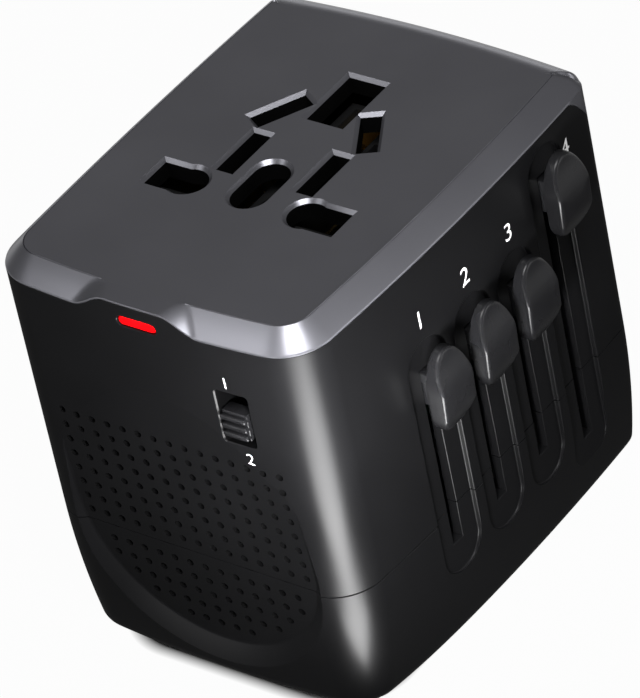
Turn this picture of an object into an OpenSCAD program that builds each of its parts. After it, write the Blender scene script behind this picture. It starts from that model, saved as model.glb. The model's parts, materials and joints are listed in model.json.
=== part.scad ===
// Travel voltage converter: a pocket block with a universal socket on top and four plug sets that
// slide out of its foot. Origin at the centre of the flat foot, +Z up, -Y is the grille face and
// +X is the face with the four sliders.

/* [Case] */
// Width between the middles of the two side faces
body_width = 52; // [49:0.5:54]
// Depth from grille face to back face
body_depth = 66.4; // [65:0.2:70]
// Height from foot to top plate
body_height = 63; // [62:0.5:66]
// Radius of the two upright corners beside the grille
corner_radius = 7; // [6.6:0.1:8]
// Wall of both shells
wall = 2.2; // [1.8:0.1:2.4]
// Height of the joint between the lower and the upper shell
seam_height = 21.1; // [20:0.1:22]
// Height of the metal-look top cap's edge
cap_height = 2.9; // [2.6:0.1:3.2]
// How far the cap's bevel runs in
cap_bevel = 2.7; // [2.3:0.1:3]
// How far the foot is drawn in below the joint
foot_taper = 2; // [1.5:0.1:2.4]
// Rounding of the foot's edge
foot_round = 2.5; // [1:0.1:2.6]

/* [Grille] */
// Distance between neighbouring grille holes
grille_pitch = 2.49; // [2.3:0.01:2.5]
// Width of a grille hole
grille_hole = 1.1; // [0.8:0.1:1.3]
// Half the width of the sunk panel that holds the grille
panel_half = 19.4; // [19:0.1:19.6]

/* [Sliders] */
// Distance along the side face between two slider slots
slider_pitch = 9.91; // [9.8:0.01:10]
// Place of the slot nearest to the grille face, along Y
slider_first = -10.15; // [-10.3:0.05:-10]
// Width of a slider slot
slot_width = 2; // [1.9:0.1:2.4]
// Depth of the three short sliders' knob centres below the top, put away
short_knob_drop = 21.9; // [21.5:0.1:22.3]
// Height of those knob centres with the pins out
short_knob_end = 20.5; // [20.1:0.1:21]
// Depth of the long slider's knob centre below the top, put away
long_knob_drop = 12; // [11.7:0.1:12.5]
// Height of that knob centre with the block out
long_knob_end = 14.2; // [13.8:0.1:14.5]

/* [Plug sets] */
// British pins, distance between the two current pins and up to the earth pin
uk_spacing = 22.2; // [22:0.1:22.4]
// European pins, distance between centres
eu_spacing = 19; // [18.6:0.1:19.2]
// American blades, distance between centres
usa_spacing = 12.7; // [12.6:0.1:12.8]
// Australian blades, distance between centres
aus_spacing = 13.72; // [13.6:0.02:13.8]
// Turn of each Australian blade
aus_turn = 30; // [28:1:32]
// Thickness of a carriage
carriage_thick = 3.5; // [3:0.1:4]

/* [Hidden] */

// Finish of round things, and the overrun that lets a cut pass clear of a face
$fn = 32;
cut = 1;
gap = 0.3;
hair = 0.05;

case_black = "#1b1b1e";
knob_black = "#232326";
cap_grey = "#4a4a50";
brass = "#c8a85a";
steel = "#b8babd";
moulding = "#2b2c30";

half_w = body_width / 2;
half_d = body_depth / 2;
cap_low = body_height - cap_height;
short_knob_height = body_height - short_knob_drop;
short_travel = short_knob_height - short_knob_end;
long_knob_height = body_height - long_knob_drop;
long_travel = long_knob_height - long_knob_end;

// Plan outline: bowed sides between four arcs, drawn in by inset
side_bow = 0.5;
front_bow = 0.8;
back_bow = 1.2;
back_corner_radius = 2.2;
tight_radius = 0.2;
arc_steps = 8;
bow_steps = 6;
corner_x = half_w - side_bow - corner_radius;
front_y = half_d - front_bow - corner_radius;
back_end = half_d - back_bow;
side_end = half_w - side_bow;

function arc(centre, r, from) = [for (i = [0:arc_steps])
    let (a = from + 90 * i / arc_steps) centre + r * [cos(a), sin(a)]];
function share(k) = 1 - 2 * k / bow_steps;
function bowed(k, bow) = bow * (1 - pow(share(k), 2));
function mid(k, low, high) = (high + low) / 2 + share(k) * (high - low) / 2;
function outline(inset) = let (
    r = corner_radius - inset,
    b = max(back_corner_radius - inset, tight_radius),
    back_x = side_end - inset - b,
    back_y = back_end - inset - b) concat(
    arc([back_x, back_y], b, 0),
    [for (k = [1:bow_steps - 1]) [back_x * share(k), back_y + b + bowed(k, back_bow)]],
    arc([-back_x, back_y], b, 90),
    [for (k = [1:bow_steps - 1]) [-corner_x - r - bowed(k, side_bow), mid(k, -front_y, back_y)]],
    arc([-corner_x, -front_y], r, 180),
    [for (k = [1:bow_steps - 1]) [-corner_x * share(k), -front_y - r - bowed(k, front_bow)]],
    arc([corner_x, -front_y], r, 270),
    [for (k = [1:bow_steps - 1]) [corner_x + r + bowed(k, side_bow), mid(k, back_y, -front_y)]]);

// How far the foot's corner between the grille and the sliders leans in
foot_pull = 0.5;
pull_power = 4;
function pulled_in(p, z) = z < seam_height && p[0] > 0 && p[1] < 0
    ? foot_pull * pow(1 - z / seam_height, 2) * p[0] / corner_x * pow(p[1] / front_y, pull_power) : 0;

// A solid through a list of [height, inset] levels
module loft(levels) {
    n = len(outline(0));
    points = [for (l = levels) for (p = outline(l[1])) [p[0] - pulled_in(p, l[0]), p[1], l[0]]];
    sides = [for (s = [0:len(levels) - 2]) for (i = [0:n - 1]) let (j = (i + 1) % n)
        [s * n + i, (s + 1) * n + i, (s + 1) * n + j, s * n + j]];
    polyhedron(points, concat(sides,
        [[for (i = [0:n - 1]) i], [for (i = [n - 1:-1:0]) (len(levels) - 1) * n + i]]));
}

module prism(low, high, inset) {
    translate([0, 0, low]) linear_extrude(high - low) polygon(outline(inset));
}

// A box between two corners
module box(a, b) {
    translate(a) cube(b - a);
}

module stadium(width, length) {
    r = width / 2;
    square([width, length - width], center = true);
    for (s = [-1, 1]) translate([0, s * (length / 2 - r)]) circle(r);
}

// Drawn on the grille face: x stays, y becomes height, thickness runs towards the front
module on_front(y) {
    translate([0, y, 0]) rotate([90, 0, 0]) children();
}

// Drawn on the slider face: x becomes depth, y becomes height, thickness runs outwards
module on_side(x) {
    translate([x, 0, 0]) rotate([90, 0, 90]) children();
}

// The foot: how far the lower shell is drawn in at a height
function rounding(z) = z < foot_round ? foot_round - sqrt(pow(foot_round, 2) - pow(foot_round - z, 2)) : 0;
function drawn_in(z) = foot_taper * pow(1 - z / seam_height, 2) + rounding(z);
foot_levels = [0, 0.25, 0.7, 1.4, 2.5, 4.5, 7, 10, 14, seam_height];
floor_thick = 2;

// Sunk grille panel: a flat floor that leans into the face towards the foot
panel_low = 5.7;
panel_sunk = 2.7;
panel_low_y = panel_sunk - half_d;
panel_lean = 3.58;
panel_flare = 2;
panel_tall = 60;
panel_proud = 2.5;
backing_in = 4.2;
backing_y = backing_in - half_d;

module panel_outline(grow) {
    translate([0, panel_half]) circle(panel_half + grow, $fn = 64);
    translate([-panel_half - grow, panel_half]) square([2 * (panel_half + grow), panel_tall]);
}

module grille_panel() {
    translate([0, panel_low_y, panel_low]) rotate([90 + panel_lean, 0, 0]) hull() {
        linear_extrude(hair) panel_outline(0);
        translate([0, 0, panel_proud]) linear_extrude(hair) panel_outline(panel_flare * panel_proud);
    }
}

// Mode switch window, hung from the top
mode_x = [10.1, 15.1];
mode_tall = 8.3;
mode_drop = 18.6;
mode_z = [body_height - mode_drop, body_height - mode_drop + mode_tall];

// Grille: [height, holes in that row], full rows up to the switch and five rows below the joint
row_up = 1.9;
row_down = 2.4;
row_clear = 3.9;
full_row = 15;
foot_rows = [13, 13, 11, 9, 5];
row_count = floor((mode_z[0] - row_clear - seam_height - row_up) / grille_pitch) + 1;
upper_rows = [for (r = [0:row_count - 1]) [seam_height + row_up + r * grille_pitch, full_row]];
lower_rows = [for (r = [0:len(foot_rows) - 1]) [seam_height - row_down - r * grille_pitch, foot_rows[r]]];
backing_over = 1.1;
backing_top = upper_rows[row_count - 1][0] + backing_over;
hole_sides = 6;
hole_depth = 6;

module grille_holes(rows) {
    for (row = rows) for (i = [0:row[1] - 1])
        translate([(i - (row[1] - 1) / 2) * grille_pitch, 0, row[0]])
            on_front(backing_y + cut) cylinder(h = hole_depth, d = grille_hole, $fn = hole_sides);
}

module backing(low, high) {
    box([-panel_half, backing_y - wall - hair, low], [panel_half, backing_y, high]);
}

// Sliders: the three short ones, then the long one
uk_y = slider_first;
aus_y = slider_first + slider_pitch;
usa_y = slider_first + 2 * slider_pitch;
eu_y = slider_first + 3 * slider_pitch;
neck_half = 2.5;
slot_spare = 0.5;
short_slot_run = 2.6;
long_slot_run = 1;
slot_depth = 5;
track_width = 8;
track_depth = 0.8;
track_end = 4.6;

module slider_slot(y, knob_height, last, run) {
    low = last - neck_half - run;
    high = knob_height + neck_half + slot_spare;
    translate([0, y, (low + high) / 2]) {
        on_side(half_w - slot_depth) linear_extrude(slot_depth + cut) stadium(slot_width, high - low);
        on_side(half_w - track_depth) linear_extrude(track_depth + cut)
            stadium(track_width, high - low + 2 * track_end);
    }
}

module all_slots() {
    for (y = [uk_y, aus_y, usa_y]) slider_slot(y, short_knob_height, short_knob_end, short_slot_run);
    slider_slot(eu_y, long_knob_height, long_knob_end, long_slot_run);
}

// Case screws stand in the four corners
screw_in = [6.4, 6.4];
screw_at = [half_w, half_d] - screw_in;
screw_r = 1.25;
head_r = 2.2;
screw_seat = 2.6;
screw_top = 30;
post_r = 2.8;

module at_case_screws() {
    for (sx = [-1, 1]) for (sy = [-1, 1]) translate([sx * screw_at[0], sy * screw_at[1], 0]) children();
}

// Status window in the grille face
led_x = -0.25;
led_drop = 0.2;
led_z = cap_low - led_drop;
led_size = [5.9, 1.3];
tongue_low_x = [-10.8, 9.6];
tongue_top_x = [-4.9, 3.5];
roof_thick = 0.55;
tongue_top = body_height - roof_thick;
tongue_thick = 2.3;
curve_steps = 8;

function s_curve(from, to) = [for (i = [0:curve_steps]) let (t = i / curve_steps)
    [from[0] + t * (to[0] - from[0]), from[1] + (1 - cos(180 * t)) / 2 * (to[1] - from[1])]];

// The tongue of the grille face that rises into the cap round the status window
module tongue_outline() {
    polygon(concat([[tongue_low_x[0], cap_low - cut], [tongue_low_x[1], cap_low - cut]],
        s_curve([tongue_low_x[1], cap_low], [tongue_top_x[1], tongue_top]),
        s_curve([tongue_top_x[0], tongue_top], [tongue_low_x[0], cap_low])));
}

module tongue(thick) {
    on_front(-half_d + thick) linear_extrude(thick) tongue_outline();
}

module led_window(spare) {
    translate([led_x, 0, led_z]) on_front(-half_d + tongue_thick + hair)
        linear_extrude(tongue_thick + cut) rotate(90) stadium(led_size[1] + spare, led_size[0] + spare);
}

// Socket openings in the top plate, in plan
line_y = -8.55;
line_outer = 14.9;
line_half = 2.45;
round_r = 2.75;
earth_y = 13.65;
earth_size = [5.8, 9.9];
usa_slot = [6.35, -0.64];
usa_slot_size = [2.66, 8.6];
aus_slot = [6.94, 8.9];
aus_slot_size = [2.84, 8];
centre_slot_y = -5.7;
centre_slot_size = [5.2, 10];

module socket_openings() {
    for (s = [-1, 1]) {
        translate([s * eu_spacing / 2, line_y]) circle(round_r);
        translate([s * (eu_spacing / 2 + line_outer) / 2, line_y])
            square([line_outer - eu_spacing / 2, 2 * line_half], center = true);
        translate([s * usa_slot[0], usa_slot[1]]) square(usa_slot_size, center = true);
        translate([s * aus_slot[0], aus_slot[1]]) rotate(s * aus_turn) square(aus_slot_size, center = true);
    }
    translate([0, earth_y]) square(earth_size, center = true);
    translate([0, centre_slot_y]) stadium(centre_slot_size[0], centre_slot_size[1]);
}

// Socket body and the ears that the cap screws hold
cap_gap = 2.9;
body_tall = 16.7;
body_top = cap_low - cap_gap;
body_low = body_top - body_tall;
body_half = 18.6;
body_y = [-13, 14.4];
tower_drop = 1.5;
tower_low = body_low - tower_drop;
tower_back = 19.8;
ear_x = body_half + 2;
ear_y = [-9, 9.5];
ear_r = 2.1;
ear_thick = 2.3;
ear_low = body_top - ear_thick;
chamber_deep = 14;
chamber_floor = body_top - chamber_deep;
chamber_in = 3.8;
chamber_out = 17.4;
chamber_y = [-11.9, 13.3];
shutter_low = body_top + gap;
shutter_high = cap_low - 2 * gap;
apron_x = [3.2, 10];
apron_front = 7.2 - half_d;
spring_x = 6;
spring_stop = apron_front + 1.4;

module at_ears() {
    for (s = [-1, 1]) for (y = ear_y) translate([s * ear_x, y, 0]) children();
}

// Carriages: they lie side by side in bands along Y and reach in from the slider face
carriage_lift = 2.9;
carriage_low = short_travel + carriage_lift;
carriage_high = carriage_low + carriage_thick;
arm_gap = 2.6;
arm_out = half_w - wall - arm_gap;
arm_thick = 2;
arm_half = 3.2;
pin_embed = 3;
uk_centre = -6;
uk_line_y = -12;
uk_earth_y = uk_line_y + uk_spacing;
uk_pin = [6.35, 4];
uk_neck = [5.2, 2.9];
uk_pin_length = 17.7;
uk_sleeve = 8.7;
uk_earth = [4, 8];
uk_earth_length = 20.1;
offset_centre = 6;
aus_blade = [6.35, 1.6];
aus_blade_length = 17.3;
aus_left = -3.5;
usa_blade = [1.5, 6.35];
usa_blade_length = 17;
usa_left = -2.6;
eu_centre = [-0.4, 21.85];
eu_block = [17.75, 6.85];
eu_flat = [13, 1.6];
eu_block_out = 17.3;
eu_block_low = long_travel - eu_block_out;
eu_block_tall = 18.7;
eu_block_high = eu_block_low + eu_block_tall;
eu_pin_r = 2;
eu_neck_r = 1.5;
eu_pin_low = 1;
eu_sleeve = 9;

// Board and what stands on it
board_gap = 2.5;
board_thick = 1.6;
board_low = carriage_high + board_gap;
board_high = board_low + board_thick;
board_x = [-20.5, 18.7];
board_y = [-28, 13.5];
leg_at = [16, 11];
leg_r = 2.2;
small_screw_r = 1;
small_head_r = 1.9;
small_head = 1.6;

module at_legs() {
    for (sx = [-1, 1]) for (sy = [-1, 1]) translate([sx * leg_at[0], sy * leg_at[1], 0]) children();
}

// The cap: how its bevel ends, and the ribs below it that locate it inside the upper shell
edge_step = 0.2;
edge_in = 0.15;
roof_depth = 5;
pilot_depth = 2.9;
lip_thick = 1.2;
lip_drop = 2.3;
lip_spare = 0.5;
lip_y = [-19, 18];
lip_length = 8;
back_lip_spare = 0.4;
back_lip_length = 16;

module top_cap() {
    color(cap_grey) difference() {
        union() {
            loft([[cap_low, 0], [body_height - edge_step, cap_bevel - edge_in],
                [body_height, cap_bevel + edge_in]]);
            intersection() {
                prism(tongue_top, body_height, edge_step / 2);
                box([tongue_top_x[0], -half_d, tongue_top],
                    [tongue_top_x[1], roof_depth - half_d, body_height]);
            }
            at_ears() translate([0, 0, body_top]) cylinder(h = cap_low - body_top + cut, r = ear_r);
            cap_lips();
        }
        tongue(tongue_thick);
        translate([0, 0, cap_low - cut]) linear_extrude(cap_height + 2 * cut) socket_openings();
        at_ears() translate([0, 0, body_top - cut]) cylinder(h = cut + pilot_depth, r = small_screw_r);
    }
}

module cap_lips() {
    side = half_w - wall - lip_spare - lip_thick / 2;
    back = half_d - wall - back_lip_spare - lip_thick / 2;
    tall = lip_drop + 2 * hair;
    translate([0, 0, cap_low + hair - lip_drop / 2]) {
        for (s = [-1, 1]) for (y = lip_y) translate([s * side, y, 0])
            cube([lip_thick, lip_length, tall], center = true);
        translate([0, back, 0]) cube([back_lip_length, lip_thick, tall], center = true);
    }
}

post_tall = 12;

module upper_case() {
    color(case_black) difference() {
        union() {
            difference() {
                prism(seam_height, cap_low, 0);
                prism(seam_height - cut, cap_low + cut, wall);
            }
            intersection() {
                prism(seam_height, body_height, 0);
                union() {
                    tongue(tongue_thick);
                    backing(seam_height, backing_top);
                    at_case_screws() translate([0, 0, seam_height]) cylinder(h = post_tall, r = post_r);
                }
            }
        }
        grille_panel();
        grille_holes(upper_rows);
        all_slots();
        box([mode_x[0], -half_d - cut, mode_z[0]], [mode_x[1], backing_y, mode_z[1]]);
        led_window(hair);
        at_case_screws() translate([0, 0, seam_height - cut])
            cylinder(h = screw_top - seam_height + 2 * cut, r = screw_r);
    }
}

// Holes in the floor through which the plug sets come out
floor_spare = 0.35;
spare_all_round = 2 * [floor_spare, floor_spare];

module floor_openings() {
    for (s = [-1, 1]) {
        translate([uk_centre + s * uk_spacing / 2, uk_line_y])
            square(uk_pin + spare_all_round, center = true);
        translate([offset_centre + s * aus_spacing / 2, aus_y]) rotate(90 + s * aus_turn)
            square(aus_blade + spare_all_round, center = true);
        translate([offset_centre + s * usa_spacing / 2, usa_y])
            square(usa_blade + spare_all_round, center = true);
    }
    translate([uk_centre, uk_earth_y]) square(uk_earth + spare_all_round, center = true);
    translate(eu_centre) eu_outline(floor_spare);
}

module eu_outline(grow) {
    x = eu_block[0] + grow;
    y = eu_block[1] + grow;
    flat = eu_flat + [grow, grow] / 2;
    polygon([[x, flat[1]], [flat[0], y], [-flat[0], y], [-x, flat[1]],
        [-x, -flat[1]], [-flat[0], -y], [flat[0], -y], [x, -flat[1]]]);
}

cavity_levels = [floor_thick, 4.5, 8, 13, seam_height + cut];
foot_post_tall = 5;
foot_post_wall = 1;
shank_spare = 0.15;
head_spare = 0.2;

module lower_case() {
    color(case_black) difference() {
        union() {
            difference() {
                loft([for (z = foot_levels) [z, drawn_in(z)]]);
                loft([for (z = cavity_levels) [z, drawn_in(min(z, seam_height)) + wall]]);
            }
            intersection() {
                loft([for (z = foot_levels) [z, drawn_in(z)]]);
                union() {
                    backing(floor_thick, seam_height);
                    at_case_screws() {
                        cylinder(h = seam_height, r = post_r);
                        cylinder(h = foot_post_tall, r = head_r + foot_post_wall);
                    }
                }
            }
            seam_lip();
        }
        grille_panel();
        grille_holes(lower_rows);
        all_slots();
        translate([0, 0, -cut]) linear_extrude(seam_height / 2) floor_openings();
        at_case_screws() translate([0, 0, -cut]) {
            cylinder(h = seam_height + 2 * cut, r = screw_r + shank_spare);
            cylinder(h = screw_seat + cut, r = head_r + head_spare);
        }
    }
}

// Locating lip that stands up inside the upper shell, on the left and at the back
seam_lip_down = 4;
seam_lip_up = 2;
seam_lip_spare = 0.1;
seam_lip_thick = 1;
seam_lip_y = [-18, 20];
seam_lip_x = 12;
seam_lip_reach = 8;

module seam_lip() {
    low = seam_height - seam_lip_down;
    high = seam_height + seam_lip_up;
    difference() {
        intersection() {
            union() {
                prism(low, seam_height, wall - hair);
                prism(seam_height - hair, high, wall + seam_lip_spare);
            }
            union() {
                box([-half_w, seam_lip_y[0], low], [seam_lip_reach - half_w, seam_lip_y[1], high]);
                box([-seam_lip_x, half_d - seam_lip_reach, low], [seam_lip_x, half_d, high]);
            }
        }
        prism(low - cut, high + cut, wall + seam_lip_spare + seam_lip_thick);
    }
}

// Status window: a pill in the grille face with a light guide behind it
lens_sunk = 0.15;
guide_half = 2.2;
guide_in = 5.2;
guide_back = guide_in - half_d;
guide_drop = [3, 0.15];
guide_z = [led_z, led_z] - guide_drop;
guide_front = tongue_thick + hair - half_d;
link_half = (led_size[0] - led_size[1]) / 2;

module led_lens() {
    color("#e01818") {
        intersection() {
            led_window(0);
            box([-half_w, lens_sunk - half_d, cap_low - cap_height],
                [half_w, tongue_thick - hair - half_d, body_height]);
        }
        box([led_x - link_half, tongue_thick / 2 - half_d, led_z - led_size[1] / 2 + hair],
            [led_x + link_half, guide_front + hair, guide_z[1]]);
        box([led_x - guide_half, guide_front, guide_z[0]],
            [led_x + guide_half, guide_back, guide_z[1]]);
    }
}

lamp_drop = 1.9;
lamp_long = 3.1;
lamp_z = cap_low - lamp_drop;
lamp_y = [guide_back, guide_back + lamp_long];
lamp_r = 1.5;
lead_pitch = 2.54;
lead_r = 0.25;
lead_sides = 8;

module indicator_led() {
    color("#f04040") {
        translate([led_x, 0, lamp_z]) on_front(lamp_y[1]) cylinder(h = lamp_y[1] - lamp_y[0], r = lamp_r);
        for (s = [-1, 1]) translate([led_x + s * lead_pitch / 2, 0, 0]) {
            translate([0, lamp_y[1] + cut, board_high])
                cylinder(h = lamp_z - board_high, r = lead_r, $fn = lead_sides);
            box([-lead_r, lamp_y[1] - hair, lamp_z - 2 * lead_r], [lead_r, lamp_y[1] + cut, lamp_z]);
        }
    }
}

// Mode switch: the knob lies in a channel of the body and shows three ribs in the window
switch_in = [3.1, 10.8];
switch_over = 2.3;
switch_y = switch_in - [half_d, half_d];
switch_z = mode_z + [-switch_over, switch_over];
switch_half = 4.6;
switch_deep = 3.1;
switch_floor = switch_y[0] + switch_deep;
switch_spare = 0.2;
switch_lead = [3, switch_floor + 1, 0.4];
mode_knob = [4.7, 4.7];
mode_lift = 0.15;
mode_sunk = 1.4;
mode_back = switch_floor - 2 * switch_spare;
rib_count = 3;
rib_pitch = 1.55;
rib_start = 0.45;
rib_tall = 0.7;
rib_proud = 0.65;
rib_inset = 0.3;
mode_middle = (mode_x[0] + mode_x[1]) / 2;

module mode_switch_knob() {
    half = mode_knob[0] / 2;
    face = mode_sunk - half_d;
    color(knob_black) translate([mode_middle, 0, mode_z[0] + mode_lift]) {
        box([-half, face, 0], [half, mode_back, mode_knob[1]]);
        for (i = [0:rib_count - 1]) translate([0, 0, rib_start + i * rib_pitch])
            box([rib_inset - half, face - rib_proud, 0], [half - rib_inset, face + hair, rib_tall]);
    }
}

module mode_switch_body() {
    color(moulding) {
        difference() {
            box([mode_middle - switch_half, switch_y[0], switch_z[0]],
                [mode_middle + switch_half, switch_y[1], switch_z[1]]);
            box([mode_x[0] - hair, switch_y[0] - cut, mode_z[0] - switch_spare],
                [mode_x[1] + hair, switch_floor, mode_z[1] + switch_spare]);
        }
        for (s = [-1:1]) translate([mode_middle + s * switch_lead[0], switch_lead[1], board_high])
            cylinder(h = switch_z[0] - board_high + hair, r = switch_lead[2], $fn = lead_sides);
    }
}

// Slider knobs: a wave-faced pad that stands off the wall, and a neck that runs in the slot
neck_thick = 1.6;
knob_off = 1.7;
knob_thick = 3;
knob_half = 3.45;
knob_upper = [2.1, 5.7];
knob_lower = [2, 3.45];
knob_steps = 12;
knob_high = knob_upper[0] + knob_upper[1];
knob_low = -knob_lower[0] - knob_lower[1];
knob_wave = [[1.5, knob_high], [1.45, 6.2], [1.93, 4.8], [2.45, 3.1], [2.85, 1.1], [2.8, -0.7],
    [2.3, -2.1], [0.2, knob_low]];

module knob_outline() {
    polygon(concat(
        [for (i = [0:knob_steps]) let (a = 180 * i / knob_steps)
            [knob_half * cos(a), knob_upper[0] + knob_upper[1] * sin(a)]],
        [for (i = [0:knob_steps]) let (a = 180 + 180 * i / knob_steps)
            [knob_half * cos(a), knob_lower[1] * sin(a) - knob_lower[0]]]));
}

module slider_knob(y, z) {
    back = half_w + knob_off;
    color(knob_black) translate([0, y, z]) {
        intersection() {
            on_side(back) linear_extrude(knob_thick) knob_outline();
            on_front(knob_half + cut) linear_extrude(2 * (knob_half + cut))
                translate([back, 0]) polygon(concat([[0, knob_low], [0, knob_high]], knob_wave));
        }
        box([arm_out, -neck_thick / 2, -neck_half], [back + hair, neck_thick / 2, neck_half]);
    }
}

module uk_slider_knob() { slider_knob(uk_y, short_knob_height); }
module aus_slider_knob() { slider_knob(aus_y, short_knob_height); }
module usa_slider_knob() { slider_knob(usa_y, short_knob_height); }
module eu_slider_knob() { slider_knob(eu_y, long_knob_height); }

// The upright arm that carries a knob
arm_over = 0.5;

module arm(y, low, knob_height) {
    box([arm_out - arm_thick, y - arm_half, low],
        [arm_out, y + arm_half, knob_height + neck_half + arm_over]);
}

module pin_block(size, low, high) {
    translate([0, 0, low]) linear_extrude(high - low) square(size, center = true);
}

module at_uk_lines() {
    for (s = [-1, 1]) translate([uk_centre + s * uk_spacing / 2, uk_line_y, 0]) children();
}

uk_bar_end = 14.7;
uk_bar_front = 2.4;
uk_bar_back = 3.4;
uk_arm_x = [-4.2, 2.4];
uk_arm_over = 4.4;
pin_top = carriage_low + pin_embed;

module uk_carriage() {
    color(moulding) difference() {
        union() {
            box([uk_centre - uk_bar_end, uk_line_y - uk_bar_front, carriage_low],
                [arm_out, uk_y + uk_bar_back, carriage_high]);
            box([uk_centre + uk_arm_x[0], uk_y, carriage_low],
                [uk_centre + uk_arm_x[1], uk_earth_y + uk_arm_over, carriage_high]);
            arm(uk_y, carriage_low, short_knob_height);
        }
        at_uk_lines() pin_block(uk_neck, carriage_low - cut, pin_top);
        translate([uk_centre, uk_earth_y, 0]) pin_block(uk_earth, carriage_low - cut, pin_top);
    }
}

// A rectangular pin whose tip is bevelled on all sides
pin_bevel = 1;

module bevel_pin(size, low, high) {
    pin_block(size, low + pin_bevel, high);
    hull() {
        pin_block(size, low + pin_bevel, low + pin_bevel + hair);
        pin_block(size - [pin_bevel, pin_bevel], low, low + hair);
    }
}

uk_shoulder = carriage_low - uk_sleeve;

module uk_line_pins() {
    color(brass) at_uk_lines() {
        bevel_pin(uk_pin, short_travel - uk_pin_length, uk_shoulder);
        pin_block(uk_neck, uk_shoulder - hair, pin_top);
    }
}

module uk_pin_sleeves() {
    color(case_black) at_uk_lines() difference() {
        pin_block(uk_pin, uk_shoulder, carriage_low);
        pin_block(uk_neck, uk_shoulder - cut, carriage_low + cut);
    }
}

module uk_earth_pin() {
    color(brass) translate([uk_centre, uk_earth_y, 0])
        bevel_pin(uk_earth, short_travel - uk_earth_length, pin_top);
}

// Both offset carriages have the same plate, in their own band
plate_half = 3.9;

module offset_carriage(y, left) {
    box([left, y - plate_half, carriage_low], [arm_out, y + plate_half, carriage_high]);
    arm(y, carriage_low, short_knob_height);
}

module aus_blade_pair(low, high) {
    for (s = [-1, 1]) translate([offset_centre + s * aus_spacing / 2, aus_y, 0]) rotate(90 + s * aus_turn)
        pin_block(aus_blade, low, high);
}

module aus_carriage() {
    color(moulding) difference() {
        offset_carriage(aus_y, aus_left);
        aus_blade_pair(carriage_low - cut, pin_top);
    }
}

module aus_blades() {
    color(brass) aus_blade_pair(short_travel - aus_blade_length, pin_top);
}

module usa_blade_pair(low, high) {
    for (s = [-1, 1]) translate([offset_centre + s * usa_spacing / 2, usa_y, 0])
        pin_block(usa_blade, low, high);
}

module usa_carriage() {
    color(moulding) difference() {
        offset_carriage(usa_y, usa_left);
        usa_blade_pair(carriage_low - cut, pin_top);
    }
}

usa_hole_r = 1.6;
usa_hole_up = 5.1;

module usa_blades() {
    low = short_travel - usa_blade_length;
    color(brass) difference() {
        usa_blade_pair(low, pin_top);
        translate([-half_w, usa_y, low + usa_hole_up]) rotate([0, 90, 0])
            cylinder(h = body_width, r = usa_hole_r);
    }
}

// The European block, with a head beside the socket body that reaches out to its arm
head_over = [1.2, 5.8];
head_z = [eu_block_high, eu_block_high] + head_over;
head_x = [8, arm_out - 0.8];
head_y = [15.6, 22.8];
head_foot = [11.3, 16];
arm_sunk = 2;

module eu_carriage() {
    color(moulding) difference() {
        union() {
            translate([eu_centre[0], eu_centre[1], eu_block_low])
                linear_extrude(eu_block_high - eu_block_low) eu_outline(0);
            box([head_x[0], head_foot[1], eu_block_high - hair], [head_foot[0], head_y[1], head_z[0] + hair]);
            box([head_x[0], head_y[0], head_z[0]], [head_x[1], head_y[1], head_z[1]]);
            arm(eu_y, head_z[1] - arm_sunk, long_knob_height);
        }
        at_eu_pins() translate([0, 0, eu_block_low - cut]) cylinder(h = pin_embed + cut, r = eu_neck_r);
    }
}

module at_eu_pins() {
    for (s = [-1, 1]) translate([eu_centre[0] + s * eu_spacing / 2, eu_centre[1], 0]) children();
}

eu_shoulder = eu_block_low - eu_sleeve;
eu_tip = [[1.1, 0], [0.35, 0.4], [0, 1.2]];

module eu_pins() {
    color(steel) at_eu_pins() rotate_extrude() polygon(concat([[0, eu_pin_low]],
        [for (p = eu_tip) [eu_pin_r - p[0], eu_pin_low + p[1]]],
        [[eu_pin_r, eu_shoulder], [eu_neck_r, eu_shoulder], [eu_neck_r, eu_block_low + pin_embed],
            [0, eu_block_low + pin_embed]]));
}

module eu_pin_sleeves() {
    color(case_black) at_eu_pins() difference() {
        translate([0, 0, eu_shoulder]) cylinder(h = eu_sleeve, r = eu_pin_r);
        translate([0, 0, eu_shoulder - cut]) cylinder(h = eu_sleeve + 2 * cut, r = eu_neck_r);
    }
}

leaf_floor = 1;

// Socket body: two deep chambers, an earth chamber, a pocket under the centre slot, and its legs
tower_half = 4.3;
tower_front = 6;
apron_low = ear_low + 0.1;
earth_chamber = [3.1, 8.2, 18.8];
earth_floor = tower_low + leaf_floor;
pocket_deep = 9.2;
pocket_floor = body_top - pocket_deep;
pocket_spare = 0.6;
leg_pilot = 6.5;
clear_r = small_screw_r + 0.1;

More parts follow.
